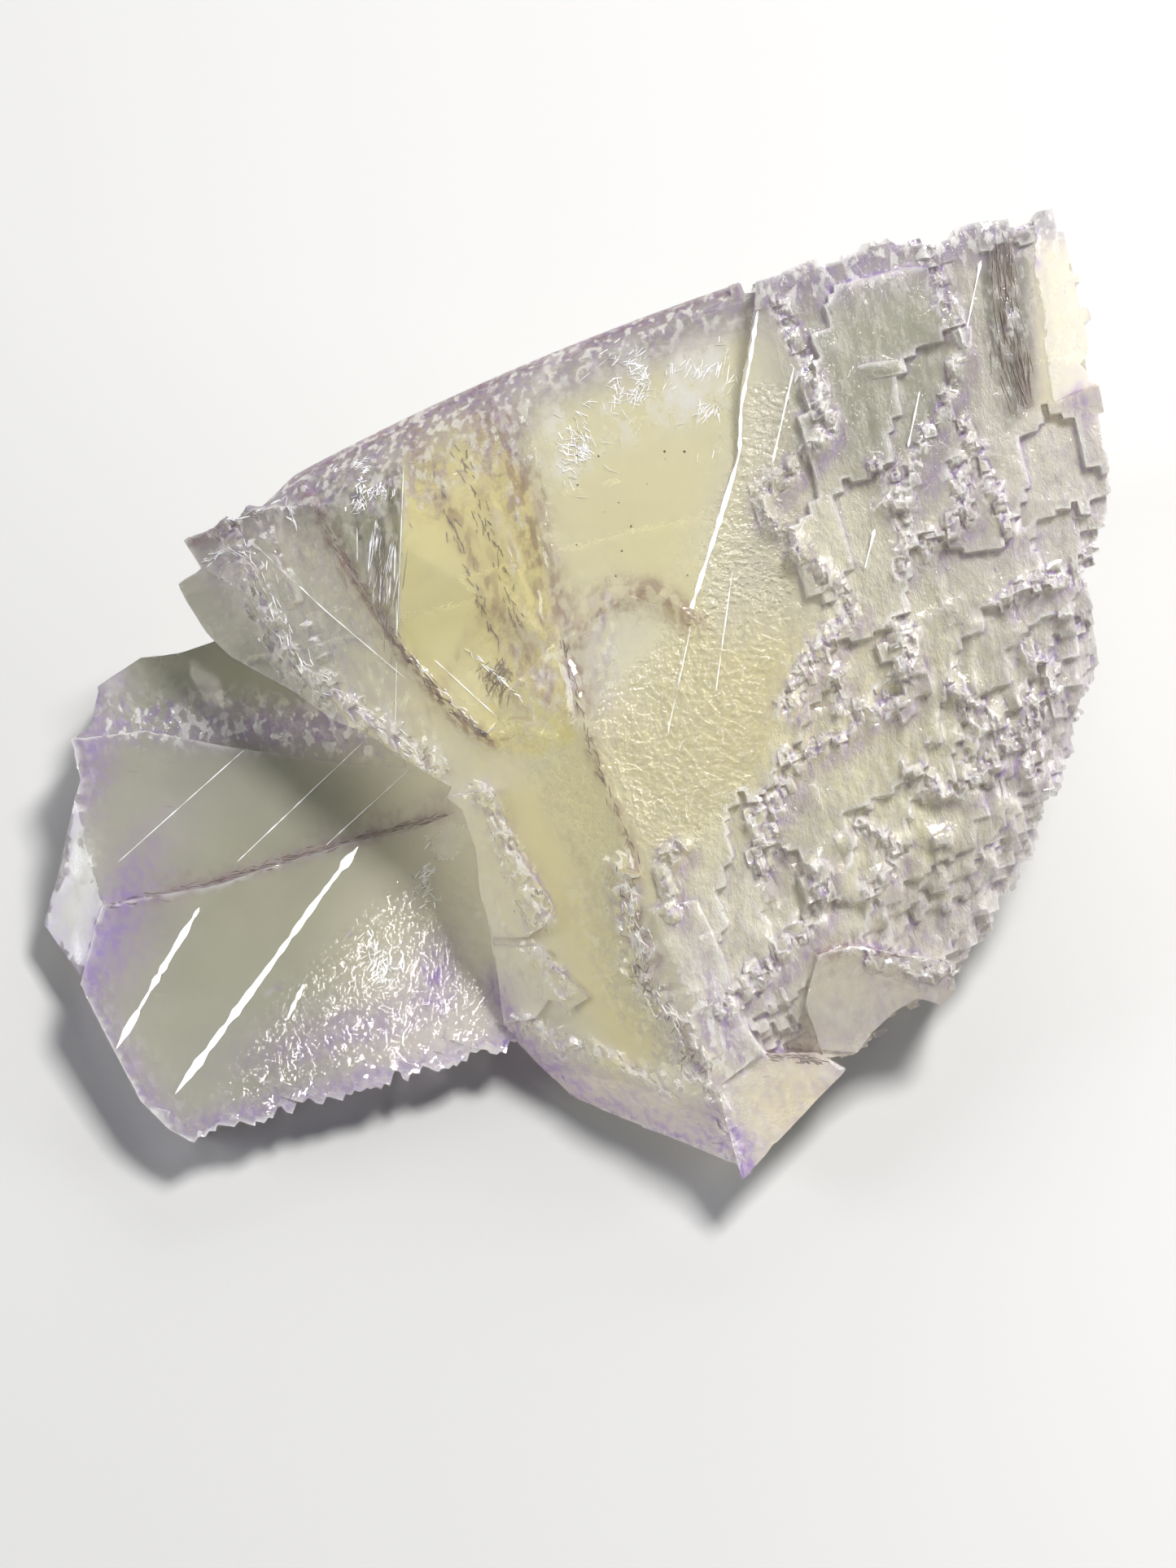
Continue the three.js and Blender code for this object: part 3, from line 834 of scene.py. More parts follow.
@dataclass
class BigCrystal:
    """The upright crystal: a stepped right face, cleaved windows and a smooth left flank."""

    step: float = 0.66
    terrace_slope: float = 0.555
    terrace_reach: float = 8.8
    layer_spread: float = 3.0
    small_studs: float = 0.96  # shares of the growths that have none
    large_studs: float = 0.97
    layer: float = 0.75  # thickness of the layers that the left edge shows
    layer_inset: float = 0.34
    layer_seam: float = 0.03
    cutter_pitch: float = 0.6
    left_step: float = 0.03
    top_step: float = 0.05
    shoulder_width: float = 3.2
    shoulder_drop: float = 2.7
    ripple: float = 0.05
    rim_width: float = 2.2
    back: float = 0.7 - BODY_DEPTH
    seed: int = 7
    lattice: GrowthLattice = field(init=False)

    def __post_init__(self) -> None:
        """Sets the lattice of the right face."""
        self.lattice = GrowthLattice(FAN, (10.2, 31.7), (116, RIM_RADIUS), 0.37, self.seed, sway=0.28)

    def layer_height(self, x: Array, y: Array) -> Array:
        """Height of the growth layers of the right face.

        It is the mean of the known heights, each weighed by e to the minus squared distance,
        with a slow drift added away from the smooth part.

        Args:
            x: across places.
            y: up places.

        Returns:
            One height for each place.
        """
        known = np.array(LAYER_HEIGHTS)
        gap = (x[..., None] - known[:, 0]) ** 2 + (y[..., None] - known[:, 1]) ** 2
        weight = np.exp(-gap / self.layer_spread**2) + 1e-9
        height = (weight * known[:, 2]).sum(-1) / weight.sum(-1)
        restless = smooth(-height, 0.1, 0.8) + 0.4 * smooth(x, 13, 17)
        return height + restless * (0.42 * drift(x, y, 4.2, 1) + 0.12 * drift(x, y, 1.6, 2))

    def right_relief(self) -> Array:
        """Relief of the right face.

        The borders of its layers run in teeth, because a whole growth takes the height at its
        middle. Small pits and studs stand where the layers are restless. Cells outside the
        crystal lie at its back.

        Returns:
            One height for each cell.
        """
        angle, radius, x, y = self.lattice.cells()
        tooth = self.lattice.labels(0.6, 0.8, 1)
        middle = self.lattice.growths(1.2, 1.9, 2)
        fine = self.lattice.growths(0.5, 0.9, 3)
        side = np.interp(angle, *np.array(STEPPED_SIDE).T)
        inward = radius - side
        wander = 1.5 * drift(x, y, 2.2, 5) + 1.3 * (middle - 0.5)
        fall = np.minimum(0, group_mean(tooth, inward - self.terrace_reach + wander)) * self.terrace_slope
        fall = np.where(angle > RIDGE_ANGLE, 0, fall)
        layers = self.layer_height(group_mean(tooth, x), group_mean(tooth, y))
        height = np.minimum(layers, 0.5 + fall) + 0.35 * fall
        crowd = np.clip(smooth(-height, 0.1, 1.2) + sum(pool.amount(x, y) for pool in STUDS), 0, 1)
        raised = (fine > self.small_studs) * 0.15 + (middle > self.large_studs) * 0.2
        studs = crowd * (raised + 0.05 * np.round(3 * middle))
        chain = strongest(CHAINS, x.ravel(), y.ravel()).reshape(x.shape)
        teeth = self.lattice.growths(0.6, 0.8, 5)
        studs += smooth(group_mean(tooth, chain), 0.3, 0.7) * (0.5 * np.round(3 * teeth) / 3 - 0.1)
        relief = self.step * np.round(height / self.step) + studs
        rim = (angle < RIM_BLOCKS_FROM) & (radius > RIM_RADIUS - self.rim_width)
        relief = np.where(rim, 0.1 + 0.25 * np.round(2 * middle) / 2, relief)
        edge_x, edge_y = np.array(RIGHT_EDGE[::-1]).T
        edge = np.interp(y, edge_y, edge_x) - 0.5 * middle - 0.25 * fine
        ragged = RIM_RADIUS - 0.8 * self.lattice.growths(1, 99, 4)
        top = np.where(angle < RIM_BLOCKS_FROM, ragged, np.inf)
        outside = (inward < 1.3 * middle * (angle < RIDGE_ANGLE)) | (x > edge) | (radius > top)
        return np.where(outside, self.back, relief)

    def left_boundary(self) -> Solid:
        """Everything to the right of the left outline: layers of uneven width, one on another.

        Returns:
            The solid.
        """
        rng = np.random.default_rng(self.seed + 1)
        far = 60
        tail = [(-18.1, 19.2), (-18.1, far), (far, far), (far, -far), (9.6, -far)]
        outline = np.array([*LEFT_OUTLINE, *tail], float)
        between = np.arange(-18, 8, self.layer)
        between += rng.uniform(-0.3, 0.3, len(between))
        layers = np.concatenate([[-70], between, [40]])
        inset = np.concatenate([[0], rng.uniform(0, self.layer_inset, len(between) - 1), [0]])
        low, high = layers[:-1] + self.layer_seam / 2, layers[1:] - self.layer_seam / 2
        heights = np.column_stack([low, high]).ravel()
        shift = np.repeat(inset, 2)[:, None] * (np.arange(len(outline)) < len(LEFT_OUTLINE) + 1)
        outlines = np.repeat(outline[None], len(heights), 0)
        outlines[..., 0] += shift
        return stacked(outlines, np.repeat(heights[:, None], len(outline), 1))

    def left_cutter(self) -> Solid:
        """What is cut away in front of the left face: smooth, with small steps near its edges.

        Returns:
            The solid that cuts.
        """
        lattice = GrowthLattice(FAN, (22.4, 33), (111, 173), self.cutter_pitch, self.seed + 2)
        _, _, x, y = lattice.cells()
        coarse, fine = lattice.growths(2.2, 3.5, 1), lattice.growths(0.7, 1.1, 2)
        low = smooth(-y, 8, 15)
        flank = smooth(-x - 0.6 * y, 6, 14)
        knot = np.exp(-((x + 4.6) ** 2 + (y - 4.4) ** 2) / 5)
        crowd = np.maximum.reduce([0.6 * low, 0.5 * flank, 0.5 * knot, 0.04 + 0 * x])
        relief = self.left_step * np.floor(4 * crowd * (coarse**2 + 0.7 * fine**2))
        return lattice.block(LEFT_FACE, relief - 0.04, CUTTER_REACH)

    def top_cutter(self) -> Solid:
        """What is cut away in front of the cleaved top, with chips along its rim.

        Returns:
            The solid that cuts.
        """
        lattice = GrowthLattice(FAN, (14.8, 32), (131, 173), self.cutter_pitch, self.seed + 3)
        _, radius, _, _ = lattice.cells()
        fine, middle = lattice.growths(0.7, 1.0, 1), lattice.growths(1.4, 2.6, 2)
        rim = smooth(radius, 160, 166)
        relief = self.top_step * np.floor(2.8 * rim * (0.6 * middle**2 + 0.8 * fine**2))
        return lattice.block(CLEAVED_TOP, relief - 0.03, CUTTER_REACH)

    def rim_cutter(self) -> Solid:
        """Rounds the cleaved top off towards the rim: it falls as the distance to the 1.5.

        Returns:
            The solid that cuts.
        """
        angle = np.radians(np.linspace(RIM_BLOCKS_FROM + 0.3, RIM_LEFT + 1.2, 70))[:, None]
        inner = RIM_RADIUS - self.shoulder_width
        radius = np.linspace(inner - 1.5, RIM_RADIUS + 3, 24)[None, :]
        x, y = FAN[0] - radius * np.sin(angle), FAN[1] + radius * np.cos(angle)
        share = (radius - inner) / self.shoulder_width + 0 * angle
        fall = np.where(share > 0, self.shoulder_drop * np.abs(share) ** 1.5, 1.6 * share)
        ripple = self.ripple * np.sin(angle * 900 + 3 * radius) * np.clip(share, 0, 1)
        level = CLEAVED_TOP.height(x, y)
        return closed_sheet(x, y, level - fall + ripple, level + CUTTER_REACH)

    def build(self) -> Solid:
        """The whole big crystal, before it is leant back and trimmed.

        Returns:
            The crystal.
        """
        _, _, x, y = self.lattice.cells()
        slope = 0.07 * smooth(-self.layer_height(x, y), 0.05, 0.6) + 0.012
        tilts = self.lattice.tilts(1.6, 2.2, 1, slope)
        stone = self.lattice.block(RIGHT_FACE, self.right_relief(), -BODY_DEPTH, tilts)
        stone = worked(stone, self.left_boundary(), Operation.KEEP)
        stone = with_windows(stone, FILLS, self.lattice, -BODY_DEPTH / 2, Operation.JOIN)
        stone = worked(stone, self.left_cutter(), Operation.CUT)
        stone = worked(stone, self.top_cutter(), Operation.CUT)
        stone = with_windows(stone, STRIPS, self.lattice, -BODY_DEPTH / 2, Operation.JOIN)
        stone = worked(stone, self.rim_cutter(), Operation.CUT)
        return with_windows(stone, WINDOWS, self.lattice, CUTTER_REACH, Operation.CUT)


@dataclass
class Plate:
    """The flat crystal that lies under the big one, with a stepped lower rim."""

    notches: int = 34
    notch: float = 0.9
    step: float = 0.09
    rim_fall: float = 0.4
    band_top: float = 0.3
    seed: int = 21
    lattice: GrowthLattice = field(init=False)

    def __post_init__(self) -> None:
        """Sets the lattice of the plate, whose arcs run along its lower rim."""
        self.lattice = GrowthLattice((-186, -581), (-18.4, -14.2), (577, 618), 0.45, self.seed)

    def outline(self) -> Array:
        """The plate's border, with its lower rim as a row of notches of uneven depth.

        Returns:
            x and y of its corners.
        """
        rng = np.random.default_rng(self.seed)
        start, end = np.array(PLATE_RIM, float)
        number = np.arange(self.notches)
        share = (number + rng.uniform(0, 0.3, self.notches)) / self.notches
        after = (number + 1 - rng.uniform(0, 0.25, self.notches)) / self.notches
        depth = self.notch * (rng.random(self.notches) - 0.6)
        depth = np.where(number % 3 == 0, depth, depth * 0.6)
        left = start + share[:, None] * (end - start) + np.column_stack([0 * depth + 0.05, -depth])
        right = np.column_stack([start[0] + after * (end - start)[0], left[:, 1] - 0.12])
        rim = np.stack([left, right], 1).reshape(-1, 2)
        return np.concatenate([PLATE_OUTLINE, rim, PLATE_ROOT])

    def relief(self, lattice: GrowthLattice) -> Array:
        """Relief of the plate: smooth above, with low steps of growth along the lower rim.

        Args:
            lattice: the cells, of the plate or of its band.

        Returns:
            One height for each cell.
        """
        _, _, x, y = lattice.cells()
        coarse, fine = lattice.growths(2.6, 1.1, 1), lattice.growths(1.0, 0.5, 2)
        left, low = PLATE_RIM[0]
        inward = (y - low) * math.cos(PLATE_TURN) - (x - left) * math.sin(PLATE_TURN)
        crowd = smooth(-inward, -3.5, -0.5)
        fall = -0.5 * smooth(-inward, -1.6, -0.2) * np.floor(3 * coarse) / 2
        steps = self.step * np.floor(4 * crowd * (0.8 * coarse**2 + 0.5 * fine**2))
        return steps + self.rim_fall * fall

    def build(self) -> Solid:
        """The plate, before it is leant back and trimmed.

        Returns:
            The plate.
        """
        body = self.lattice.block(PLATE_FACE, self.relief(self.lattice), -BODY_DEPTH)
        lattice = self.lattice.over(PLATE_BAND.outline, PLATE_BAND.pitch)
        relief = np.minimum(self.relief(lattice), self.band_top)
        band = window_solid(lattice, PLATE_BAND, -BODY_DEPTH / 2, relief)
        body = worked(body, band, Operation.JOIN)
        border = prism(self.outline(), PLATE_FACE, -BODY_DEPTH - MARGIN, 3 * MARGIN)
        plate = worked(body, border, Operation.KEEP)
        return with_windows(plate, PLATE_WINDOWS, self.lattice, CUTTER_REACH, Operation.CUT)


@dataclass(frozen=True)
class Trim:
    """A flat that ends the stone behind or below, in table axes, with broken steps on it."""

    point: Point3
    direction: Point3
    rough: float
    seed: int
    reach: float = 46.0
    pitch: float = 1.3

    def normal(self) -> Array:
        """The flat's direction, made one long."""
        return np.array(self.direction, float) / np.linalg.norm(self.direction)

    def depth(self, points: Array) -> Array:
        """How far each point lies behind the flat, on the stone's side."""
        return (self.point - points) @ self.normal()

    def solid(self) -> Solid:
        """Everything on the far side of the flat, whose steps only go into the stone.

        Returns:
            The solid that cuts.
        """
        lattice = flat_lattice(self.reach, self.pitch, self.seed)
        coarse, fine = lattice.growths(7, 11, 1), lattice.growths(2.2, 3.0, 2)
        _, _, x, y = lattice.cells()
        slope = 0.35 * np.sin(x / 9 + self.seed) + 0.3 * np.sin(y / 7 + 0.4 * self.seed)
        mixed = np.clip(0.55 * coarse + 0.35 * fine**2 + 0.3 * slope, 0, 1)
        relief = -self.rough * np.floor(6 * mixed) / 6
        normal = self.normal()
        side = np.cross([0, 1, 0] if abs(normal[1]) < 0.9 else [0, 0, 1], normal)
        side /= np.linalg.norm(side)
        turn = np.column_stack([side, np.cross(normal, side), normal])
        return lattice.block(LEVEL, relief, TRIM_DEPTH).moved(turn, self.point)


TRIMS = {
    "table": Trim((0, 0, 0), (0, 0, -1), 0.0, 1, 60, 30),
    "back": Trim((0, 23.42, 20), (-0.26, 0.965, 0.02), 0.35, 2),
    "frontUnder": Trim((0, -13, 0), (0.05, -0.3, -1), 0.35, 3),
    "rightUnder": Trim((20, 0, 0), (0.75, 0, -1), 0.7, 4),
    "leftUnder": Trim((-27, 0, 0), (-0.35, 0, -1), 0.35, 5),
}


@dataclass(frozen=True)
class Pool:
    """A soft patch of colour: strength times e to the minus squared distance, as an ellipse."""

    across: float
    up: float
    wide: float
    tall: float
    turn: float = 0.0
    strength: float = 1.0

    def amount(self, x: Array, y: Array) -> Array:
        """How much of the patch is at each place.

        Args:
            x: across places.
            y: up places.

        Returns:
            One amount for each place.
        """
        turn = math.radians(self.turn)
        dx, dy = x - self.across, y - self.up
        u = dx * math.cos(turn) + dy * math.sin(turn)
        v = dy * math.cos(turn) - dx * math.sin(turn)
        return self.strength * np.exp(-((u / self.wide) ** 2) - (v / self.tall) ** 2)


@dataclass(frozen=True)
class Vein:
    """A line of colour along a path: strength times e to the minus squared distance."""

    path: tuple[Point, ...]
    width: float
    strength: float = 1.0

    def amount(self, x: Array, y: Array) -> Array:
        """How much of the line is at each place."""
        return self.strength * np.exp(-((path_distance(x, y, self.path) / self.width) ** 2))


@dataclass(frozen=True)
class Patch:
    """A patch of colour inside an outline, that fades over a short distance at its border."""

    outline: tuple[Point, ...]
    soft: float = 0.5
    strength: float = 1.0

    def amount(self, x: Array, y: Array) -> Array:
        """How much of the patch is at each place: even crossings of a ray mean outside.

        Args:
            x: across places.
            y: up places.

        Returns:
            One amount for each place.
        """
        start = np.array(self.outline, float)
        end = np.roll(start, -1, 0)
        rise = np.where(end[:, 1] == start[:, 1], 1e-9, end[:, 1] - start[:, 1])
        spans = (start[:, 1] > y[:, None]) != (end[:, 1] > y[:, None])
        cross = start[:, 0] + (y[:, None] - start[:, 1]) / rise * (end[:, 0] - start[:, 0])
        inside = (spans & (x[:, None] < cross)).sum(1) % 2 == 1
        gap = path_distance(x, y, (*self.outline, self.outline[0]))
        return self.strength * smooth(np.where(inside, gap, -gap), -self.soft, self.soft)


Mark = Pool | Vein | Patch


def strongest(marks: Sequence[Mark], x: Array, y: Array) -> Array:
    """The strongest of some marks at each place."""
    return np.max([mark.amount(x, y) for mark in marks], axis=0)


class Chart:
    """Amounts over the broad front, worked out once on a grid and read between its points."""

    REACH = 40.0
    PITCH = 0.2

    def __init__(self, marks: Sequence[Mark]) -> None:
        """Works out the strongest of the marks at every grid point.

        Args:
            marks: the marks.
        """
        line = np.arange(-self.REACH, self.REACH + self.PITCH, self.PITCH)
        x, y = np.meshgrid(line, line, indexing="ij")
        self.table = strongest(marks, x.ravel(), y.ravel()).reshape(x.shape)

    def amount(self, x: Array, y: Array) -> Array:
        """The amount at each place, read in a straight line between the grid points.

        Args:
            x: across places.
            y: up places.

        Returns:
            One amount for each place.
        """
        last = len(self.table) - 1.001  # just inside the last square
        u, v = (np.clip((part + self.REACH) / self.PITCH, 0, last) for part in (x, y))
        i, j = u.astype(int), v.astype(int)
        return blended(self.table, i, j, u - i, v - j)


LAYER_HEIGHTS = (  # across, up and height of the growth layers over the right face
    (5, 8, 0), (8, 12, 0), (9, 3, 0), (5, -3, 0), (12, 6.5, 0), (11, 18, 0), (9.8, 24, 0), (12, 29, 0.05),
    (6, -9, 0), (15, 22, 0.5), (16, 27.5, 0.5), (14.6, 16, 0.5), (19.5, 27, 0.5), (17, 12.6, 0.5),
    (22.5, 24, 0.1), (24.5, 30, 0), (24.5, 20, -0.2), (28.5, 20, -0.3), (29, 27, 0), (20, 14, -0.5),
    (22, 11, -0.7), (18.5, 7, -0.6), (15.5, 3, -0.6), (20, 3, -1.0), (24, 8, -1.2), (28.5, 8, -1.8),
    (24, 0, -2.0), (20, -4, -1.9), (15, -4, -1.2), (11.5, -4, -0.7), (9.5, -9, -0.7), (14, -9, -1.3),
    (27, -2, -3.0), (23, -8, -3.0), (30.5, 13, -1.2), (12, 0, -0.3), (17.5, 17.5, 0.3), (21, 19, 0),
)
LONG_SEAM = ((-17.6, 18.4), (-14.6, 12.8), (-11.4, 8.0), (-8.0, 4.1), (-6.0, 2.6))
ARCH_SEAM = ((-1.1, 8.5), (1.1, 11), (2.3, 11.2), (3.8, 11.7), (6.2, 9.9))
LOWER_CHAIN = ((2, -5.3), (2.4, -8.5), (3.2, -9.7), (3, -11.2), (4, -12.8), (5.6, -14.8), (6.6, -17.5))
GREY_FIELD = ((11, 30), (23, 33), (23.6, 22), (19, 17), (13, 20))
GREY_RIB = ((23.8, 33), (26.6, 33), (27, 23), (25.4, 21.6), (24, 27))
LOWER_EDGE = (
    (-5.6, -12.5), (-4.3, -16.1), (-3.1, -17.4), (-1.1, -19.4), (0.9, -20.6), (3.9, -21.8),
    (6.7, -22.7), (9.4, -24),
)
VEINS = (
    Vein(((-11, 21.9), (-8, 15.9), (-4.1, 8.1), (-1.1, 4.1)), 0.8, 0.7),
    Vein(((-6.1, 22.9), (-4.1, 16.9), (-2.6, 13), (-1.1, 9), (-0.4, 5)), 1.1, 0.75),
    Vein(ARCH_SEAM, 0.9, 0.8),
    Vein(LONG_SEAM, 0.55, 1.1),
    Vein(((-9.6, 4.6), (-7, 9), (-5.6, 13), (-6.4, 18)), 0.5, 0.5),
    Vein(((13.8, -10.4), (16.1, -9.8), (18.9, -10.4)), 0.5, 1.0),
    Vein(((10.9, -16.3), (13.6, -16.5)), 0.4, 1.0),
    Vein(LOWER_EDGE, 0.25, 0.7),
    Vein(((28.9, 34.6), (29.7, 32.6), (30.6, 29.8), (31.1, 25.4)), 0.3, 0.8),
    Vein(((0, 2.4), (2.8, -4.4), (3.1, -6.2)), 0.4, 0.7),
)
SCALY_AREA = (
    (10, 31), (12, 24), (9, 14), (7, 9), (0, 3), (4, -7), (3, -11), (7.6, -16), (9, -18),
    (13, -16.4), (13.4, -10.4), (24, -10.6), (40, -6), (40, 22), (27, 22), (26.6, 33), (10, 36),
)
STEPPED_AREA = (
    (10, 31), (12, 24), (12.6, 17), (14.6, 12), (12, 6), (10.4, 1), (6, -3), (4.4, -9), (7.6, -16),
    (9, -17), (13.2, -16.6), (13.4, -10.2), (24, -10.8), (40, -12), (40, 22), (26.9, 22.6),
    (26.8, 33), (26.6, 50), (10, 50),
)
CHAINS = (
    Vein(((11.5, 28.7), (14.5, 21.4), (10.4, 17.2), (10.4, 16.4), (13.5, 13.2), (15.9, 11.1)), 0.6, 0.9),
    Vein(((18.8, 12.7), (19.2, 18.4), (21.8, 23.8), (22.5, 26.2), (21.8, 28.7), (20, 32.6)), 0.6, 0.8),
    Vein(((15.8, 10.5), (15.2, 9.7), (13.3, 7.4), (12, 4.7)), 0.8),
    Vein(((15, 6.7), (15.7, 3.2), (13.7, 2.1)), 0.6),
    Vein(((18.9, 9.4), (19.4, 7.1), (18.5, 5), (16.9, 4.4)), 0.8),
    Vein(((12.3, 1.6), (11.6, -0.4), (10.3, -2.1), (11.1, -3.6)), 0.9),
    Vein(((17.3, 19.2), (19.2, 18.3), (17.7, 16.8)), 0.5),
    Vein(((22.3, 19.2), (22.9, 16.5), (20.5, 14.3)), 0.8),
    Vein(((25.3, 11.1), (26.6, 11.9), (29.5, 13.1), (31, 13.9)), 0.7),
    Vein(((22.4, 5.5), (24.6, 3.8), (23.6, 2), (24.6, 1.2)), 0.8),
    Vein(((19.4, 1), (20.9, -0.1), (23, -0.6), (26, 3)), 0.7, 0.8),
    Vein(((22.5, 21.8), (24.5, 17.9), (25.4, 15.4)), 0.8, 0.8),
    Vein(LOWER_CHAIN, 0.6),
    Vein(((5.4, -3.8), (4.6, -4.7), (5, -7.7)), 0.7),
    Vein(((10.3, -4.6), (10.6, -5.4)), 0.7),
    Vein(((13.7, -4.9), (14.2, -6.9), (12.7, -9.2), (10.7, -11.2), (7.9, -13.6)), 0.8),
    Vein(((17.2, -10.5), (19.1, -11.1), (22.1, -11.6)), 0.7),
    Vein(((27, 8.4), (28.4, 6), (27, 3.4), (27.4, 0.6)), 0.7, 0.9),
    Vein(((16.6, -2.4), (18.8, -4.2), (17.4, -6.8)), 0.7, 0.8),
)
FLANK_CHAINS = (
    Vein(((-22.3, 16.3), (-20.3, 10.8), (-18.4, 7.2), (-13.7, 3.8), (-9.4, 1)), 1.0, 1.1),
    Vein(((-20.2, 16.6), (-18.2, 11.8), (-15.8, 7)), 0.4, 0.7),
)
FIBRES = (
    Vein(((-5.4, 23.4), (-3.6, 17), (-2.4, 11), (-1.4, 6)), 1.3, 0.9),
    Vein(((-7.2, 22.6), (-5, 16), (-3.4, 9.6)), 0.6, 0.6),
    Vein(((25.2, 32), (25.4, 27.6), (26.3, 23.4)), 0.9, 0.9),
)
CRUMBS = (
    Vein(LOWER_CHAIN, 0.9, 1.25),
    Vein(((-6.4, -0.6), (-5.4, -3), (-3.8, -6.2), (-2.9, -8.4)), 0.9),
    Vein(((-3.4, -10.2), (-1.8, -11.8), (-1.4, -13.4)), 0.6, 0.8),
    Vein(((-4.6, -14.6), (-2, -15.8), (1, -16.8), (5.4, -18.8)), 0.7, 0.9),
    Vein(((6.4, -17), (7.6, -19.4), (8.8, -22.4)), 0.6, 0.8),
)
BORDERS = (Vein(((-11.2, 19.8), (-11.7, 8.2)), 0.45),)
RIDGES = (  # raised lines: the strength is their height in millimetres
    Vein(LONG_SEAM, 0.45, 0.4),
    Vein(ARCH_SEAM, 0.4, 0.2),
    Vein(((-6, 2.6), (-4.2, 3.4), (-2.2, 2.6), (-0.6, 3.6), (-0.9, 6), (-1.6, 8.4)), 0.3, 0.2),
)
SMOKY_WINDOW = (
    (-17.2, 18.3), (-13.8, 19.6), (-11.2, 19.6), (-11.7, 8.2), (-14.3, 12.2), (-16.5, 15.6),
)
YELLOW = (
    Patch(((-11.1, 22), (-6.5, 23), (-3.6, 18), (-2.4, 12), (-1.2, 5.6), (-0.8, 2.8), (-3.3, 1.6),
           (-6.2, 2.4), (-8.9, 5.1), (-11.6, 8.4)), 0.4, 0.72),
    Patch(((-3.6, 18), (-3, 23), (9.4, 27), (8.8, 20), (6.2, 10), (2.4, 11.4), (-1.1, 8.6)), 2.2, 0.36),
    Patch(((-3.2, 1.6), (-0.8, 2.8), (3.6, -7), (5.6, -16), (2, -18), (-2.4, -8), (-5.6, -1)), 1.6, 0.42),
    Patch(((-0.8, 2.8), (6, 9.6), (13, 9), (12, 0), (5.5, -6.5), (3.6, -7)), 2.6, 0.34),
    Pool(12.5, -19.5, 3, 2.6, 0, 0.5),
    Pool(17, 2, 10, 14, 20, 0.36),
    Pool(-18, -7, 10, 6, 0, 0.5),
)
SMOKE = (
    Patch(SMOKY_WINDOW, 0.15, 0.6),
    Pool(5, 3, 6, 5, 0, 0.1),
    Pool(2, 14, 4, 4, 0, 0.1),
    Patch(GREY_FIELD, 2.6, 0.72),
    Pool(22, 12, 7, 8, 0, 0.3),
    Pool(-20, 0.5, 9, 3, 15, 0.6),
    Pool(-20.5, -3.2, 5, 1.6, 15, 0.4),
    Pool(-24, 6.5, 6, 2, 0, 0.6),
    Pool(12, -3, 5, 4, 0, 0.15),
    Patch(GREY_RIB, 0.4, 0.9),
)
DASHES = (
    Patch(((-18, -11.5), (-12, -6.5), (-6, -7), (-5.4, -15), (-12, -17), (-24, -20.6), (-23, -18)), 1.4),
    Patch(((-31, 5.2), (-14, 4.6), (-13, 1.6), (-22, 2.6), (-31, 3)), 0.9, 0.8),
)
STEEP_AREA = (
    (40, 14), (27, 12), (22, 9), (17, 6), (15, 0), (12, -4), (9, -9), (9, -15), (24, -12), (40, -4),
)
STREAKS = (
    Patch(SMOKY_WINDOW, 0.15, 0.75),
    Patch(GREY_FIELD, 2.6, 0.4),
    Patch(GREY_RIB, 0.4, 0.9),
    Patch(((14, 6), (30, 10), (30, -2), (20, -10), (12, -6)), 2.6, 0.3),
)
LAVENDER = (
    Vein(LOWER_EDGE, 1.0, 0.8),
    Patch(((-17.5, 19.2), (-11.5, 22.6), (-5, 24.6), (1, 26.2), (1, 27.4), (-5, 26.4), (-12, 24.2),
           (-18, 20.8)), 0.7, 0.45),
    Pool(-22, 3.4, 6, 1.3, 0, 0.5),
    Pool(21, -9, 4, 2.4, 30, 0.4),
    Pool(27, 2, 2.4, 6, -20, 0.35),
    Pool(26, 14.5, 3, 1.6, 20, 0.4),
    Vein(((7.4, -19), (8.6, -21.2), (9.2, -23.6)), 0.5, 0.9),
    Pool(-29, -9, 2.6, 7, -20, 0.45),
    Pool(-9.4, -11.8, 1.4, 2.2, 0, 0.8),
    Pool(-31.5, 2, 1.6, 4, 0, 0.7),
    Pool(-31, -11, 1.4, 6, -25, 0.6),
    Patch(((-26, -21.4), (-24, -22.6), (-4, -17), (-4.4, -15), (-14, -17.6), (-24, -20.4)), 0.6, 0.6),
    Pool(-17, 3.2, 4.5, 1.2, 0, 0.45),
    Pool(-22.5, 14, 2.4, 1.8, 0, 0.55),
    Patch(((-4, -15.6), (3, -18.2), (7.6, -19.4), (8.6, -22.4), (5, -21.6), (-1, -19)), 0.6, 0.6),
    Pool(29.8, 23.4, 1.2, 2.2, 0, 0.8),
    Pool(8.3, -14.6, 0.7, 5, 18, 0.75),
    Pool(9.4, -22.3, 1.2, 1.6, 0, 0.8),
    Pool(21, 18.5, 2.2, 1.5, 0, 0.5),
    Pool(-15, -15.4, 7, 1.6, 14, 0.5),
)
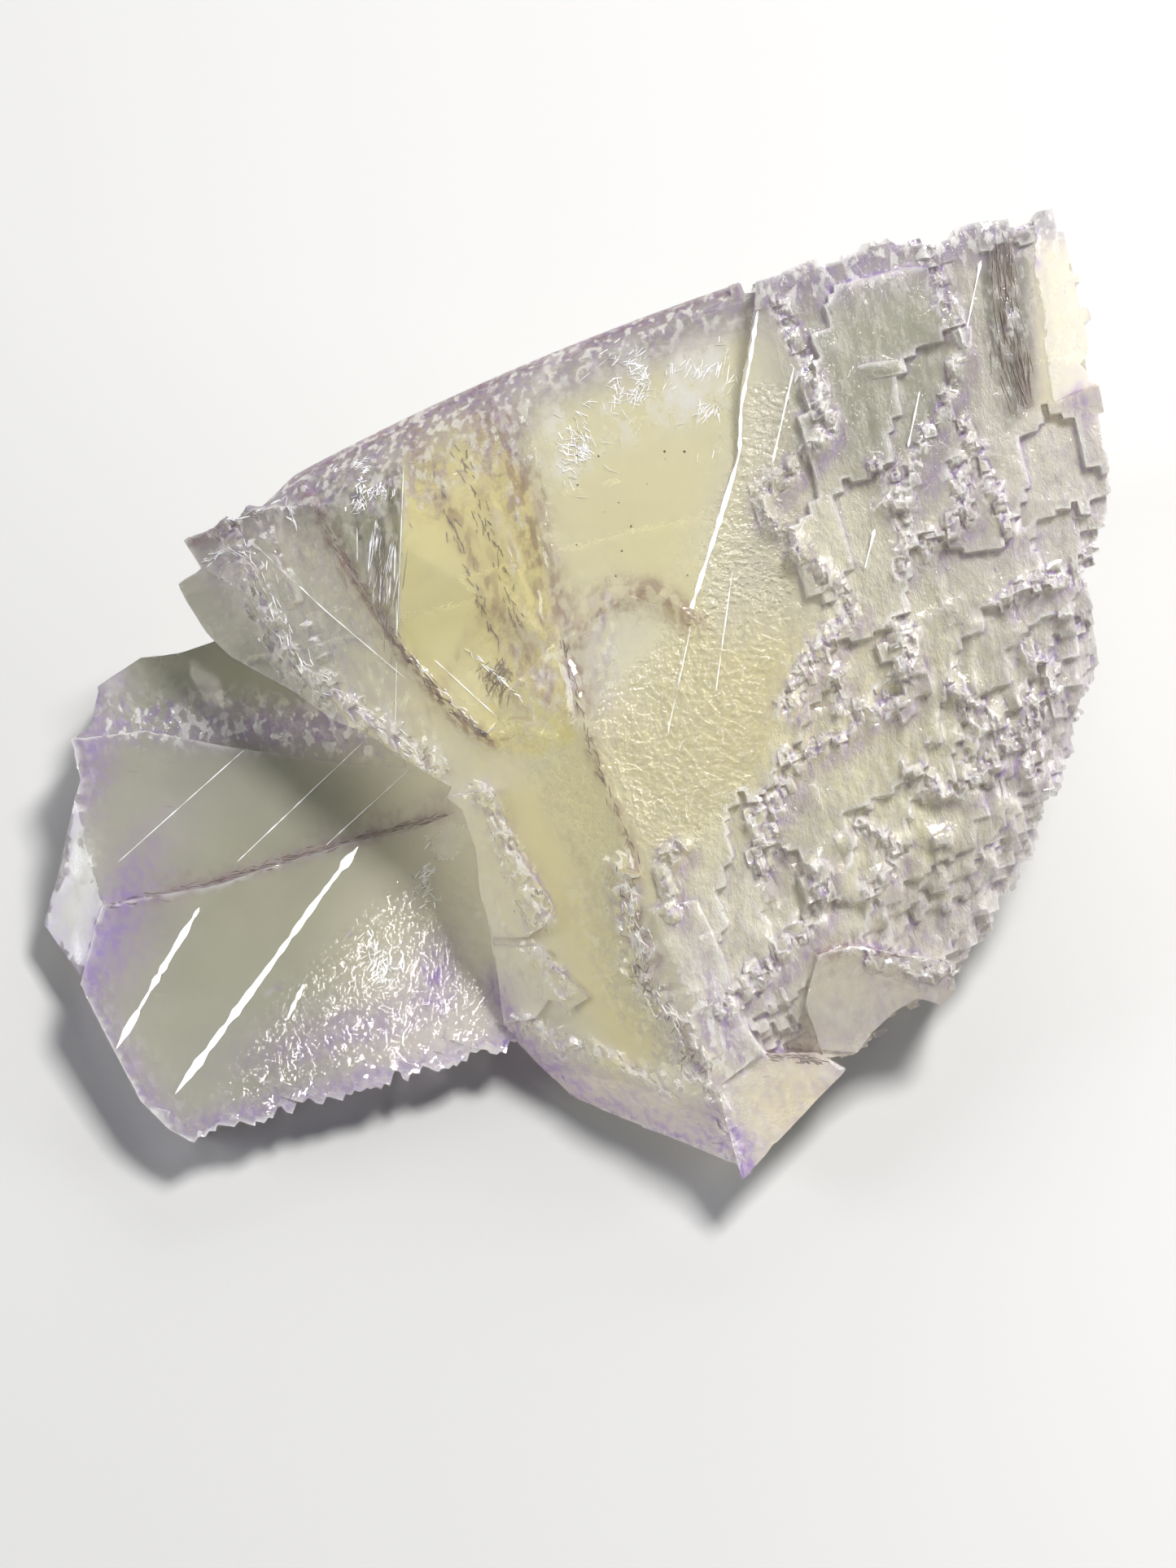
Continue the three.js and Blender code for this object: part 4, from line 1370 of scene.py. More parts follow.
# white speckles here are painted sparkle highlights; lavender speckles from the same mask are the stone's
# own colour
SPARKLE = (
    Patch(((-13, 20), (-2, 24), (-4, 19.5), (-11, 16.4)), 1.6, 0.6),
    Pool(-13.4, 17.8, 2, 1.2, 0, 0.7),
    Pool(-13, 13, 1.2, 4, 0, 0.4),
    Patch(((-31, 5.6), (-14, 4.8), (-13, 1.4), (-22, 2.4), (-31, 2.6)), 0.9, 0.9),
    Pool(-3, 6.5, 2.2, 3.4, 0, 0.6),
    Pool(1, 8.2, 0.8, 4, 0, 0.7),
    Patch(((-22, 16.4), (-17.6, 17.6), (-11.6, 7.8), (-8.4, 2), (-14, 3.6), (-23, 10)), 1.2, 0.35),
    Patch(((13, 12), (31, 18), (31, 8), (22, -12), (8, -14), (6, -6), (11, 2)), 2.4, 0.2),
    Patch(((-18, -13), (-7.4, -8), (-5, -15.5), (-20, -18.6)), 1.5, 0.15),
    Pool(7.9, -15.5, 1.6, 5, 18, 0.9),
)
# white veils in the stone: partly real cloudy veils, partly painted highlights and reflections
VEILS_AND_HIGHLIGHTS = (
    Patch(((-2.6, 25.4), (8.6, 27), (9.2, 22), (4, 21.6), (1, 20.2), (-1.4, 17), (-2.6, 19)), 1.4, 1.0),
    Pool(-8.4, 17.6, 0.6, 1.6, 0, 0.8),
    Pool(28.8, 27.6, 1.4, 3.4, 0, 0.5),
    Pool(-12.8, -11.6, 1.4, 1.4, 0, 0.6),
    # painted light: lifts the plate's right part, where the big crystal's shadow falls
    Pool(-9.6, -4.6, 1, 3, -35, 0.8),
    Pool(17.5, 13.8, 1.8, 1.6, 0, 0.5),
    Pool(13, 27, 3, 1.8, 0, 0.5),
    Pool(-32, -5.5, 1, 2.6, 0, 1),
    Pool(-31.2, -10, 0.8, 2.4, -20, 1),
    Pool(7.5, 12, 1.6, 3, 0, 0.3),
    Pool(-28.5, 6.4, 3, 1.4, 0, 0.35),
)
CREAM = (
    # the cream window: its own colour, made paler to make up for its darker shading, so partly painted
    # light
    Patch(((26.9, 33), (31.5, 33), (32.5, 24.6), (27.4, 22.7)), 0.35, 1.0),
    Pool(-8, 6, 2.6, 3.2, 0, 0.9),
    Patch(((9.6, -17.4), (13.6, -17.2), (14.2, -19.4), (10.4, -23)), 0.5, 0.45),
)
STUDS = (
    Pool(12.4, 15.2, 1.2, 2.2, 15), Pool(14, 23, 1.2, 2.4, 15), Pool(17.4, 25.2, 1.4, 1),
    Pool(20.6, 27.7, 1.4, 1.2), Pool(19, 16.5, 1.4, 3.4, 10), Pool(10.2, 0.7, 1.3, 1.3),
    Pool(5.8, -4.2, 1.4, 2, 10), Pool(6.2, -10.6, 1.4, 3, 15), Pool(27, 11.8, 3, 0.9, 8),
    Pool(22.5, 20.5, 1.5, 1.5), Pool(15.5, 7.5, 1.6, 1.2, 30), Pool(12.6, 4, 1.4, 1.4),
)
FROST = (
    Patch(((-0.6, 4), (6, 10), (10, 24), (12, 24), (12.6, 12), (10, 0), (4, -6)), 1.0, 0.42),
    Patch(STEPPED_AREA, 1.0, 0.15),
)
PLATE_SEAM = Vein(((-29.8, -7.7), (-23.5, -6.2), (-15.5, -3.7), (-8.8, -1.9)), 0.45, 0.9)
SHADE = 0.75  # the chains' shade lies so far to their right and below them


def edge_turns(mesh: bpy.types.Mesh) -> tuple[Array, Array]:
    """How sharply the faces round each point turn, apart for outer and inner edges.

    The turn is one minus the length of the faces' mean normal. The edge is an inner one
    where the middles of the faces lie in front of the point along that normal.

    Args:
        mesh: the stone's mesh.

    Returns:
        The turn at outer edges and the turn at inner ones, 0 elsewhere.
    """
    sizes = whole_numbers(mesh.polygons, "loop_total")
    corners = whole_numbers(mesh.loops, "vertex_index")
    count = np.maximum(1, np.bincount(corners, minlength=len(mesh.vertices)))[:, None]
    normal, middle = (
        summed(corners, np.repeat(vectors(mesh.polygons, name), sizes, axis=0), len(count)) / count
        for name in ("normal", "center")
    )
    turn = 1 - np.linalg.norm(normal, axis=1)
    inner = ((middle - vectors(mesh.vertices, "co")) * normal).sum(1) > 0
    return np.where(inner, 0, turn), np.where(inner, turn, 0)


@dataclass
class Cluster:
    """The whole stone: both crystals grown into one, trimmed, coloured and dressed."""

    fine_edge: float = 0.28
    dash_edge: float = 0.36
    front_edge: float = 0.75
    coarse_edge: float = 1.9
    weld: float = 0.15
    crumb_height: float = 0.6
    dash_height: float = 0.05
    fibre_height: float = 0.22
    flat_slack: float = 0.06
    big: BigCrystal = field(default_factory=BigCrystal)
    plate: Plate = field(default_factory=Plate)
    crumbs: Chart = field(default_factory=lambda: Chart(CRUMBS + CHAINS + FLANK_CHAINS))
    ridges: Chart = field(default_factory=lambda: Chart(RIDGES))
    fibres: Chart = field(default_factory=lambda: Chart(FIBRES))
    dashes: Chart = field(default_factory=lambda: Chart(DASHES))
    borders: Chart = field(default_factory=lambda: Chart(BORDERS))

    def build(self) -> bpy.types.Object:
        """Joins the crystals, leans them back, trims them and brings them to metres.

        Returns:
            The stone, coloured and finished.
        """
        stone = worked(self.big.build(), self.plate.build(), Operation.JOIN).moved(LEAN_TURN, LIFT)
        for trim in TRIMS.values():
            stone = worked(stone, trim.solid(), Operation.CUT)
        local, faces = welded(to_lean(stone.points), triangles(stone), self.weld)
        for coarser in (4, 2, 1):
            local, faces = refined(local, faces, lambda place: coarser * self.longest_edge(place))
            local, faces = welded(local, faces, self.weld)
        local = self.worn(local, faces)
        low, high = (np.array(corner) for corner in CAD_BOX)
        stone = Solid(np.clip(to_part(local), low, high), faces.tolist())
        thing = mesh_of("fluorite_stone", stone)
        self.colour(thing, local)
        thing.data.set_sharp_from_angle(angle=SHARP_ANGLE)
        self.finish(thing)
        return thing

    def worn(self, points: Array, faces: Array) -> Array:
        """Eases the etched edges, then raises crumbs, ridges and fibres along their lines.

        Crumbs are small blocks along the growth lattice: the sum of two steep-sided noises.

        Args:
            points: the stone's points in the leaning frame.
            faces: its triangles.

        Returns:
            The moved points.
        """
        x, y, w = points.T
        front = smooth(w - PLATE_FACE.height(x, y), 0.2, 1.2)
        scaly = Patch(SCALY_AREA, 1.2).amount(x, y) * front
        side = Patch(STEEP_AREA, 2.5).amount(x, y) * front
        points = eased(eased(points, faces, 0.15 + 0.3 * scaly), faces, 0.35 * side)
        angle, along = seen_from(FAN, x, y)
        across = RIM_RADIUS * angle
        blocks = 0.6 * smooth(drift(across, along, 0.9, 33), -0.1, 0.12)
        blocks += 0.4 * smooth(drift(across, along, 0.55, 34), -0.05, 0.12)
        uneven = (0.07 + 0.1 * side) * drift(1.5 * x, 0.6 * y, 0.9, 31) + 0.05 * drift(x, y, 0.6, 32)
        rise = self.crumb_height * self.crumbs.amount(x, y) * (blocks - 0.15)
        rise += self.ridges.amount(x, y) * (0.8 + 0.4 * drift(x, y, 1.2, 36))
        rise += self.fibre_height * self.fibres.amount(x, y) * self.fibre_wave(x, y)
        points[:, 2] += front * (scaly * uneven + rise) + (1 - front) * self.dash_rise(x, y)
        return points

    def dash_rise(self, x: Array, y: Array) -> Array:
        """Height of the dashes on the plate: steep-sided noise drawn out along its lower rim.

        Args:
            x: across places.
            y: up places.

        Returns:
            One height for each place.
        """
        cos, sin = math.cos(PLATE_TURN), math.sin(PLATE_TURN)
        dash = smooth(drift(0.4 * (cos * x + sin * y), cos * y - sin * x, 0.55, 37), 0.05, 0.2)
        return self.dash_height * self.dashes.amount(x, y) * dash

    def fibre_wave(self, x: Array, y: Array) -> Array:
        """Noise from -1 to 1 drawn out along the growth lines, with a wiggle."""
        across = x + 0.276 * y + 0.12 * np.sin(2.6 * y)
        return drift(1.7 * across, 0.32 * y, 0.9, 35)

    def longest_edge(self, points: Array) -> Array:
        """The longest edge allowed: short along the crumbs and fibres, long behind and below.

        Args:
            points: places in the leaning frame.

        Returns:
            One length for each place.
        """
        x, y, w = points.T
        height = w - PLATE_FACE.height(x, y)
        busy = strongest((self.crumbs, self.fibres, self.borders), x, y) + 3 * self.ridges.amount(x, y)
        front = np.where((busy > 0.35) & (height > 0.4), self.fine_edge, self.front_edge)
        dashed = (self.dashes.amount(x, y) > 0.3) & (np.abs(height) < 1.2)
        front = np.where(dashed, self.dash_edge, front)
        return np.where(height > -1.5, front, self.coarse_edge)

    def finish(self, thing: bpy.types.Object) -> None:
        """Gives each face of the stone its finish.

        The smooth fronts are clear, the stepped face is glossier and the broken flats behind
        and below are frosted.

        Args:
            thing: the stone.
        """
        mesh = thing.data
        mesh.materials.append(StoneFinish().material("fluorite"))
        mesh.materials.append(STEPPED_FINISH.material("stepped_fluorite"))
        mesh.materials.append(BROKEN_FINISH.material("broken_fluorite"))
        middle = vectors(mesh.polygons, "center") / MM - CENTRING
        behind = [trim.depth(middle) < trim.rough + self.flat_slack for trim in TRIMS.values()]
        x, y, _ = to_lean(middle).T
        stepped = Patch(STEPPED_AREA).amount(x, y) > 0.5
        index = np.where(np.any(behind, axis=0), 2, stepped)
        mesh.polygons.foreach_set("material_index", index.astype(np.int32))

    def colour(self, thing: bpy.types.Object, local: Array) -> None:
        """Stores how much of each colour zone and finish every point of the stone has, painted highlights
        and shade among them.

        Args:
            thing: the stone.
            local: its points in the leaning frame.
        """
        x, y, w = local.T

        def total(marks: Sequence[Mark]) -> Array:
            """All the marks of one colour together."""
            return sum(mark.amount(x, y) for mark in marks)

        angle, radius = seen_from(FAN, x, y)
        angle = np.degrees(angle)
        outer, inner = (smooth(turn, 0.02, 0.15) for turn in edge_turns(thing.data))
        on_plate = smooth(PLATE_FACE.height(x, y) + 1.2 - w, 0, 0.3) * smooth(-x, 3, 5)
        inward = radius - np.interp(angle, *np.array(STEPPED_SIDE).T)
        side = smooth(-inward, -11, 0) * (angle < RIDGE_ANGLE)
        right = smooth(x, 20, 31)
        rim = smooth(radius, 163.8, RIM_RADIUS - 0.6) * smooth(w, -9, -3)
        plate_rim = np.exp(-((path_distance(x, y, (*PLATE_OUTLINE[3:], *PLATE_RIM)) / 1.3) ** 2))
        strips = [path_distance(x, y, window.outline) for window in STRIPS.values()]
        strip = np.exp(-((np.min(strips, axis=0) / 0.5) ** 2))
        zone = np.maximum.reduce([0.4 * side, 0.26 * right, 0.5 * rim, 0.6 * plate_rim * on_plate])
        crumbs = self.crumbs.amount(x, y) * (1 - on_plate)
        scaly = Patch(SCALY_AREA, 1.0).amount(x, y) * (1 - on_plate)
        near_edge = 0.1 + 0.4 * scaly + 0.5 * side + 0.4 * right + 0.2 * on_plate + 0.5 * strip + rim
        dashes = self.dashes.amount(x, y) * on_plate
        edging = np.maximum(inner, 0.5 * outer) * np.clip(near_edge + 0.5 * crumbs + 0.6 * dashes, 0, 1)

        seam = PLATE_SEAM.amount(x, y) * on_plate
        chain = strongest(CHAINS, x, y) * (1 - on_plate)
        # painted shade: brown and lavender laid beside each chain, below and to its right, where its shadow
        # falls
        shaded = strongest(CHAINS, x - SHADE, y + SHADE) * (1 - on_plate) * (1 - chain)
        wave = 0.5 + 0.5 * self.fibre_wave(x, y)
        fibres = self.fibres.amount(x, y) * (1 - on_plate)
        rim_edge = smooth(radius, RIM_RADIUS - 1.2, RIM_RADIUS - 0.2) * (angle > RIM_BLOCKS_FROM)
        left = smooth(-x, 18, 22)
        cream = np.clip(total(CREAM), 0, 1)
        # lively and lit set where, and how strongly, painted highlights show on the step edges
        lively = 0.12 + 0.8 * scaly + crumbs + rim + left + 0.1 * on_plate + 0.5 * plate_rim
        lit = (0.9 + 0.5 * drift(x, y, 3.0, 8)) * np.clip(lively, 0, 1)
        masks = {
            "yellow": total(YELLOW) * (1 - 0.6 * on_plate),
            "smoke": np.maximum.reduce([
                # painted light: the plate's grey fades out towards the big crystal, lighter where its
                # shadow falls
                total(SMOKE), 0.8 * on_plate * (1 - smooth(x, -19, -8)), 0.9 * rim,
            ]),
            "streaks": total(STREAKS) * (1 - on_plate),
            # brown: veins, the rim's edge and the fibres' valleys, plus painted shade beside the chains
            "brown": np.maximum.reduce([
                strongest(VEINS, x, y) * (1 - on_plate), 0.4 * shaded, 0.8 * seam, 0.9 * rim_edge,
                0.9 * fibres * smooth(-wave, -0.55, -0.3),
            ]),
            # lavender: the stone's purple, plus painted shade beside the chains
            "lavender": np.maximum.reduce([zone, edging, total(LAVENDER), 0.3 * seam, 0.6 * shaded]),
            # white speckles: painted sparkle highlights; lavender speckles: the stone's own colour
            "sparkle": np.maximum.reduce([
                total(SPARKLE), crumbs, 0.8 * fibres * smooth(wave, 0.5, 0.7), 0.8 * rim, 0.35 * side,
                0.3 * plate_rim * on_plate,
            ]),
            # white veils, partly painted highlights and reflections
            "veil_and_highlight": total(VEILS_AND_HIGHLIGHTS),
            "cream": cream,
            "frost": np.maximum(total(FROST) * (1 - on_plate) * (1 - 0.9 * cream), 0.1 * dashes),
            "scales": scaly * (1 - cream),
            # painted highlight: white along the outer edges of steps and crumbs
            "glint": outer * lit * (w > PLATE_FACE.height(x, y) - 1),
        }
        for name, values in masks.items():
            attribute = thing.data.attributes.new(name, "FLOAT", "POINT")
            attribute.data.foreach_set("value", np.clip(values, 0, 1).astype(np.float32))


class Wiring:
    """Adds nodes to one shader tree and joins them."""

    def __init__(self, tree: bpy.types.NodeTree) -> None:
        """Keeps the tree, emptied."""
        self.tree = tree
        tree.nodes.clear()

    def node(self, kind: str, settings: dict | None = None, **inputs: object) -> bpy.types.Node:
        """A new node.

        Args:
            kind: the node's type, without the word ShaderNode.
            settings: its properties.
            inputs: values or sockets for its inputs, by name with _ for a space.

        Returns:
            The node.
        """
        made = self.tree.nodes.new("ShaderNode" + kind)
        for name, value in (settings or {}).items():
            setattr(made, name, value)
        for name, value in inputs.items():
            self.put(made.inputs[name.replace("_", " ")], value)
        return made

    def put(self, socket: bpy.types.NodeSocket, value: object) -> None:
        """Gives a socket a plain value or joins another socket to it."""
        if isinstance(value, bpy.types.NodeSocket):
            self.tree.links.new(value, socket)
        else:
            socket.default_value = value

    def mask(self, name: str) -> bpy.types.NodeSocket:
        """The amount of a colour zone that the mesh stores."""
        return self.node("Attribute", {"attribute_name": name}).outputs["Fac"]

    def math(self, kind: str, first: object, second: object) -> bpy.types.NodeSocket:
        """The result of one step of arithmetic, kept between 0 and 1.

        Args:
            kind: the name of the step.
            first: a value or socket.
            second: a value or socket.

        Returns:
            The socket with the result.
        """
        made = self.node("Math", {"operation": kind, "use_clamp": True})
        self.put(made.inputs[0], first)
        self.put(made.inputs[1], second)
        return made.outputs[0]

    def mix(self, amount: object, first: object, second: object) -> bpy.types.NodeSocket:
        """A colour between two colours.

        Args:
            amount: how much of the second colour there is.
            first: a colour or socket.
            second: a colour or socket.

        Returns:
            The socket with the colour.
        """
        made = self.node("Mix", {"data_type": "RGBA"})
        self.put(made.inputs[0], amount)
        self.put(made.inputs[6], first)
        self.put(made.inputs[7], second)
        return made.outputs[2]

    def grain(self, **inputs: float) -> Outputs:
        """The outputs of the growth grain, placed with its own values."""
        return self.node("Group", {"node_tree": grain_group()}, **inputs).outputs

    def surface(self, **inputs: object) -> bpy.types.Node:
        """Adds the shader with its inputs and gives the output that it feeds."""
        shader = self.node("BsdfPrincipled", None, **inputs)
        return self.node("OutputMaterial", None, Surface=shader.outputs[0])


def new_material(name: str) -> tuple[bpy.types.Material, Wiring]:
    """A material without nodes, and the wiring that adds them.

    Args:
        name: the material's name.

    Returns:
        The material and its wiring.
    """
    material = bpy.data.materials.new(name)
    material.use_nodes = True
    return material, Wiring(material.node_tree)


def grain_group() -> bpy.types.NodeTree:
    """Growth grain, worked out from the place on the object.

    Cloud is a soft mottle and Wisps a torn one. Light, Dark and Bloom are three kinds of crisp
    speckle that do not follow each other. Streaks and the shorter Scales run up the broad front.
    Pits is a fine height.

    Returns:
        The node group, which is built once.
    """
    tree = bpy.data.node_groups.get("growth_grain")
    if tree:
        return tree
    tree = bpy.data.node_groups.new("growth_grain", "ShaderNodeTree")
    face, kind = tree.interface, "NodeSocketFloat"
    for name, value in (("Cloud Scale", 180.0), ("Speckle Scale", 2000.0), ("Pit Scale", 2700.0)):
        face.new_socket(name, in_out="INPUT", socket_type=kind).default_value = value
    for name in ("Cloud", "Wisps", "Light", "Dark", "Bloom", "Streaks", "Scales", "Pits"):
        face.new_socket(name, in_out="OUTPUT", socket_type=kind)
    wiring = Wiring(tree)
    entry = tree.nodes.new("NodeGroupInput")
    leave = tree.nodes.new("NodeGroupOutput")
    place = wiring.node("TexCoord").outputs["Object"]
    along, streaked = (
        wiring.node(
            "Mapping", {"vector_type": "TEXTURE"}, Vector=place, Rotation=(LEAN, 0, 0.2), Scale=(1, long, 1)
        ).outputs[0]
        for long in (2.0, 14.0)
    )

    def noise(place: bpy.types.NodeSocket, scale: object, detail: float, rough: float = 0.5) -> Outputs:
        """The outputs of a noise: its value and its colour."""
        made = wiring.node("TexNoise", None, Vector=place, Scale=scale, Detail=detail, Roughness=rough)
        return made.outputs

    speckle = noise(along, entry.outputs["Speckle Scale"], 4.0)
    parts = wiring.node("SeparateColor", None, Color=speckle["Color"]).outputs
    spread = {
        "Cloud": (noise(place, entry.outputs["Cloud Scale"], 5.0)[0], 0.3, 0.7),
        "Wisps": (noise(along, 430.0, 6.0, 0.68)[0], 0.46, 0.62),
        "Light": (parts[0], 0.52, 0.60),
        "Dark": (parts[1], 0.47, 0.56),
        "Bloom": (parts[2], 0.48, 0.58),
        "Streaks": (noise(streaked, 1700.0, 3.0)[0], 0.40, 0.62),
        "Scales": (noise(along, 2300.0, 4.0, 0.65)[0], 0.36, 0.64),
        "Pits": (noise(place, entry.outputs["Pit Scale"], 3.0)[0], 0.3, 0.7),
    }
    for name, (source, low, high) in spread.items():
        ranged = wiring.node("MapRange", None, Value=source, From_Min=low, From_Max=high)
        wiring.put(leave.inputs[name], ranged.outputs[0])
    return tree


@dataclass(frozen=True)
class StoneFinish:
    """Clear to cloudy fluorite, with a yellow core, grey body and lavender edges, with painted highlights
    and shade mixed into its colour.
    """

    body: Colour = (0.84, 0.82, 0.73, 1)
    yellow: Colour = (0.95, 0.86, 0.34, 1)
    smoke: Colour = (0.35, 0.36, 0.28, 1)
    streak: Colour = (0.16, 0.17, 0.13, 1)
    # brown for veins, and for painted shade beside the chains
    brown: Colour = (0.34, 0.23, 0.21, 1)
    lavender: Colour = (0.38, 0.25, 0.65, 1)
    # white for veils and for painted highlights: sparkle speckles and edge glints
    veil_and_highlight: Colour = (0.99, 0.99, 1.0, 1)
    cream: Colour = (1.0, 0.95, 0.66, 1)
    scale: Colour = (0.56, 0.54, 0.53, 1)
    clearness: float = 0.72
    dullness: float = 0.06
    coat: float = 0.0
    ior: float = 1.434
    tint: Colour = (0.96, 0.95, 0.86, 1)
    density: float = 8.0

    def material(self, name: str) -> bpy.types.Material:
        """The material: zones mixed in turn, broken up by the growth grain.

        Args:
            name: the material's name.

        Returns:
            The material.
        """
        material, wiring = new_material(name)
        grain, mask = wiring.grain(), wiring.mask
        sparkle, streaked, frost = mask("sparkle"), mask("streaks"), mask("frost")

        def part(first: object, second: object) -> bpy.types.NodeSocket:
            """One mask inside the other."""
            return wiring.math("MULTIPLY", first, second)

        def varied(pattern: bpy.types.NodeSocket, least: float) -> bpy.types.NodeSocket:
            """A pattern that never falls under a least value."""
            return wiring.math("ADD", wiring.math("MULTIPLY", pattern, 1 - least), least)

        def most(first: object, second: object) -> bpy.types.NodeSocket:
            """The stronger of two masks."""
            return wiring.math("MAXIMUM", first, second)

        scaly = part(mask("scales"), grain["Scales"])
        tinged = part(mask("lavender"), varied(grain["Bloom"], 0.5))
        # white: veils, painted sparkle speckles and painted edge highlights together
        veil_and_highlight = most(part(mask("veil_and_highlight"), grain["Wisps"]), part(sparkle, grain["Light"]))
        # painted highlights on the outer edges join the white
        veil_and_highlight = most(veil_and_highlight, mask("glint"))
        layers = (
            (part(mask("yellow"), varied(grain["Cloud"], 0.8)), self.yellow),
            (part(mask("smoke"), varied(grain["Cloud"], 0.75)), self.smoke),
            (part(streaked, grain["Streaks"]), self.streak),
            (part(mask("cream"), varied(grain["Cloud"], 0.6)), self.cream),
            (part(scaly, 0.4), self.scale),
            (part(mask("brown"), varied(grain["Dark"], 0.35)), self.brown),
            (most(tinged, part(part(sparkle, grain["Bloom"]), 0.6)), self.lavender),
            (most(veil_and_highlight, part(part(streaked, grain["Light"]), 0.4)), self.veil_and_highlight),
        )
        colour = self.body
        for amount, tone in layers:
            colour = wiring.mix(amount, colour, tone)
        roughness = wiring.math("ADD", part(frost, 0.12), self.dullness)
        depth = most(part(grain["Pits"], varied(frost, 0.02)), part(scaly, 0.24))
        bump = wiring.node("Bump", None, Height=depth, Strength=0.7, Distance=0.0004)
        out = wiring.surface(
            Base_Color=colour, Roughness=roughness, IOR=self.ior, Transmission_Weight=self.clearness,
            Coat_Weight=self.coat, Normal=bump.outputs[0],
        )
        inside = wiring.node("VolumeAbsorption", None, Color=self.tint, Density=self.density)
        wiring.put(out.inputs["Volume"], inside.outputs[0])
        return material


STEPPED_FINISH = StoneFinish(clearness=0.65, dullness=0.03, body=(0.86, 0.84, 0.73, 1), coat=0.7)
BROKEN_FINISH = StoneFinish(clearness=0.5, dullness=0.5, lavender=(0.5, 0.42, 0.66, 1))


@dataclass(frozen=True)
class SliverFinish:
    """Cleavage cracks and growth lines, bright ones unless told otherwise; the bright white partly paints
    the light that cracks and small facets reflect.
    """

    colour: Colour = (0.9, 0.92, 0.96, 1)
    shade: Colour = (0.66, 0.64, 0.66, 1)
    coat: float = 0.6
    least_rough: float = 0.3

    def material(self, name: str) -> bpy.types.Material:
        """The material: one colour with clouds of another and a silky gloss.

        Args:
            name: the material's name.

        Returns:
            The material.
        """
        material, wiring = new_material(name)
        grain = wiring.grain(Cloud_Scale=900.0)
        colour = wiring.mix(grain["Cloud"], self.shade, self.colour)
        rough = wiring.math("ADD", wiring.math("MULTIPLY", grain["Light"], 0.3), self.least_rough)
        bump = wiring.node("Bump", None, Height=grain["Pits"], Strength=0.2, Distance=0.0001)
        wiring.surface(Base_Color=colour, Roughness=rough, Coat_Weight=self.coat, Normal=bump.outputs[0])
        return material


SEAM_FINISH = SliverFinish((0.29, 0.24, 0.22, 1), (0.12, 0.10, 0.09, 1), 0.1, 0.55)


@dataclass(frozen=True)
class SpeckFinish:
    """Tiny dark grains of another mineral."""

    colour: Colour = (0.03, 0.025, 0.02, 1)
    light: Colour = (0.12, 0.08, 0.05, 1)

    def material(self) -> bpy.types.Material:
        """The material: nearly black with brown clouds.

        Returns:
            The material.
        """
        material, wiring = new_material("dark_speck")
        colour = wiring.mix(wiring.grain(Cloud_Scale=3000.0)["Cloud"], self.colour, self.light)
        wiring.surface(Base_Color=colour, Roughness=0.5)
        return material


@dataclass(frozen=True)
class Sliver:
    """A thin bright blade that lies in a flat of the stone."""

    plane: Plane
    path: tuple[Point, ...]
    width: float
    lift: float = 0.02
    thick: float = 0.05


BLADE_LIFT = 0.03  # how far the short blades stand out of the stone
HALF_BLADE = (0.2, 0.6)  # shares of a blade's length
YELLOWISH = WINDOWS["yellow"].plane
# bright cleavage cracks: their white is partly the cracks' own and partly painted reflection
SLIVERS = (
    Sliver(PLATE_FACE, ((-24.2, -7.7), (-26.6, -11.9), (-29, -16.3)), 0.4, 0.47),
    Sliver(PLATE_FACE, ((-14.4, -3.9), (-17, -7.4), (-19.8, -11.4), (-25.3, -19)), 0.55, 0.47),
    Sliver(PLATE_FACE, ((-17.6, -12.4), (-18.6, -14.6)), 0.3, 0.47),
    Sliver(PLATE_FACE, ((-21.7, 2.2), (-29.4, -4.9)), 0.08),
    Sliver(PLATE_FACE, ((-14.1, 2.8), (-22, -4.9)), 0.1),
    Sliver(PLATE_FACE, ((-11.2, 1), (-16.5, -3.9)), 0.1),
    Sliver(RIGHT_FACE, ((23.7, 31.6), (22.6, 26.2)), 0.2, 0.15),
    Sliver(RIGHT_FACE, ((18.5, 24.2), (17.6, 20.3)), 0.14, 0.2),
    Sliver(RIGHT_FACE, ((20, 23.7), (19.3, 20.3)), 0.14, 0.2),
    Sliver(RIGHT_FACE, ((12.4, 25.1), (11.1, 19.3)), 0.16, 0.05),
    Sliver(RIGHT_FACE, ((17.3, 15.4), (16.7, 13)), 0.2, 0.3),
    Sliver(RIGHT_FACE, ((6.2, 9.5), (4.8, 3.1)), 0.09),
    Sliver(RIGHT_FACE, ((8.7, 12.9), (7.7, 5.6)), 0.09),
    Sliver(RIGHT_FACE, ((10.2, 28.5), (9.7, 25.2), (9.2, 22.7), (9.1, 19.8), (7.9, 15.8), (6, 9.9)), 0.32),
    Sliver(LEFT_FACE, ((-20.8, 15), (-16.2, 10.7), (-11.1, 6.4)), 0.08),
    Sliver(YELLOWISH, ((-11.2, 19.2), (-11.7, 8.6)), 0.06, 0.01),
    Sliver(LEFT_FACE, ((-11.7, 8), (-11.9, 2.2)), 0.06),
    Sliver(YELLOWISH, ((-9.4, 7.6), (-4.8, 3.4)), 0.08),
)


def short_blades(middles: Array, halves: Array, widths: Array, thick: float) -> list[Sliver]:
    """Straight blades from their middles and half runs, to be laid on the stone later."""
    ends = np.stack([middles - halves, middles, middles + halves], 1).tolist()
    return [Sliver(LEVEL, path, wide, BLADE_LIFT, thick) for path, wide in zip(ends, widths)]


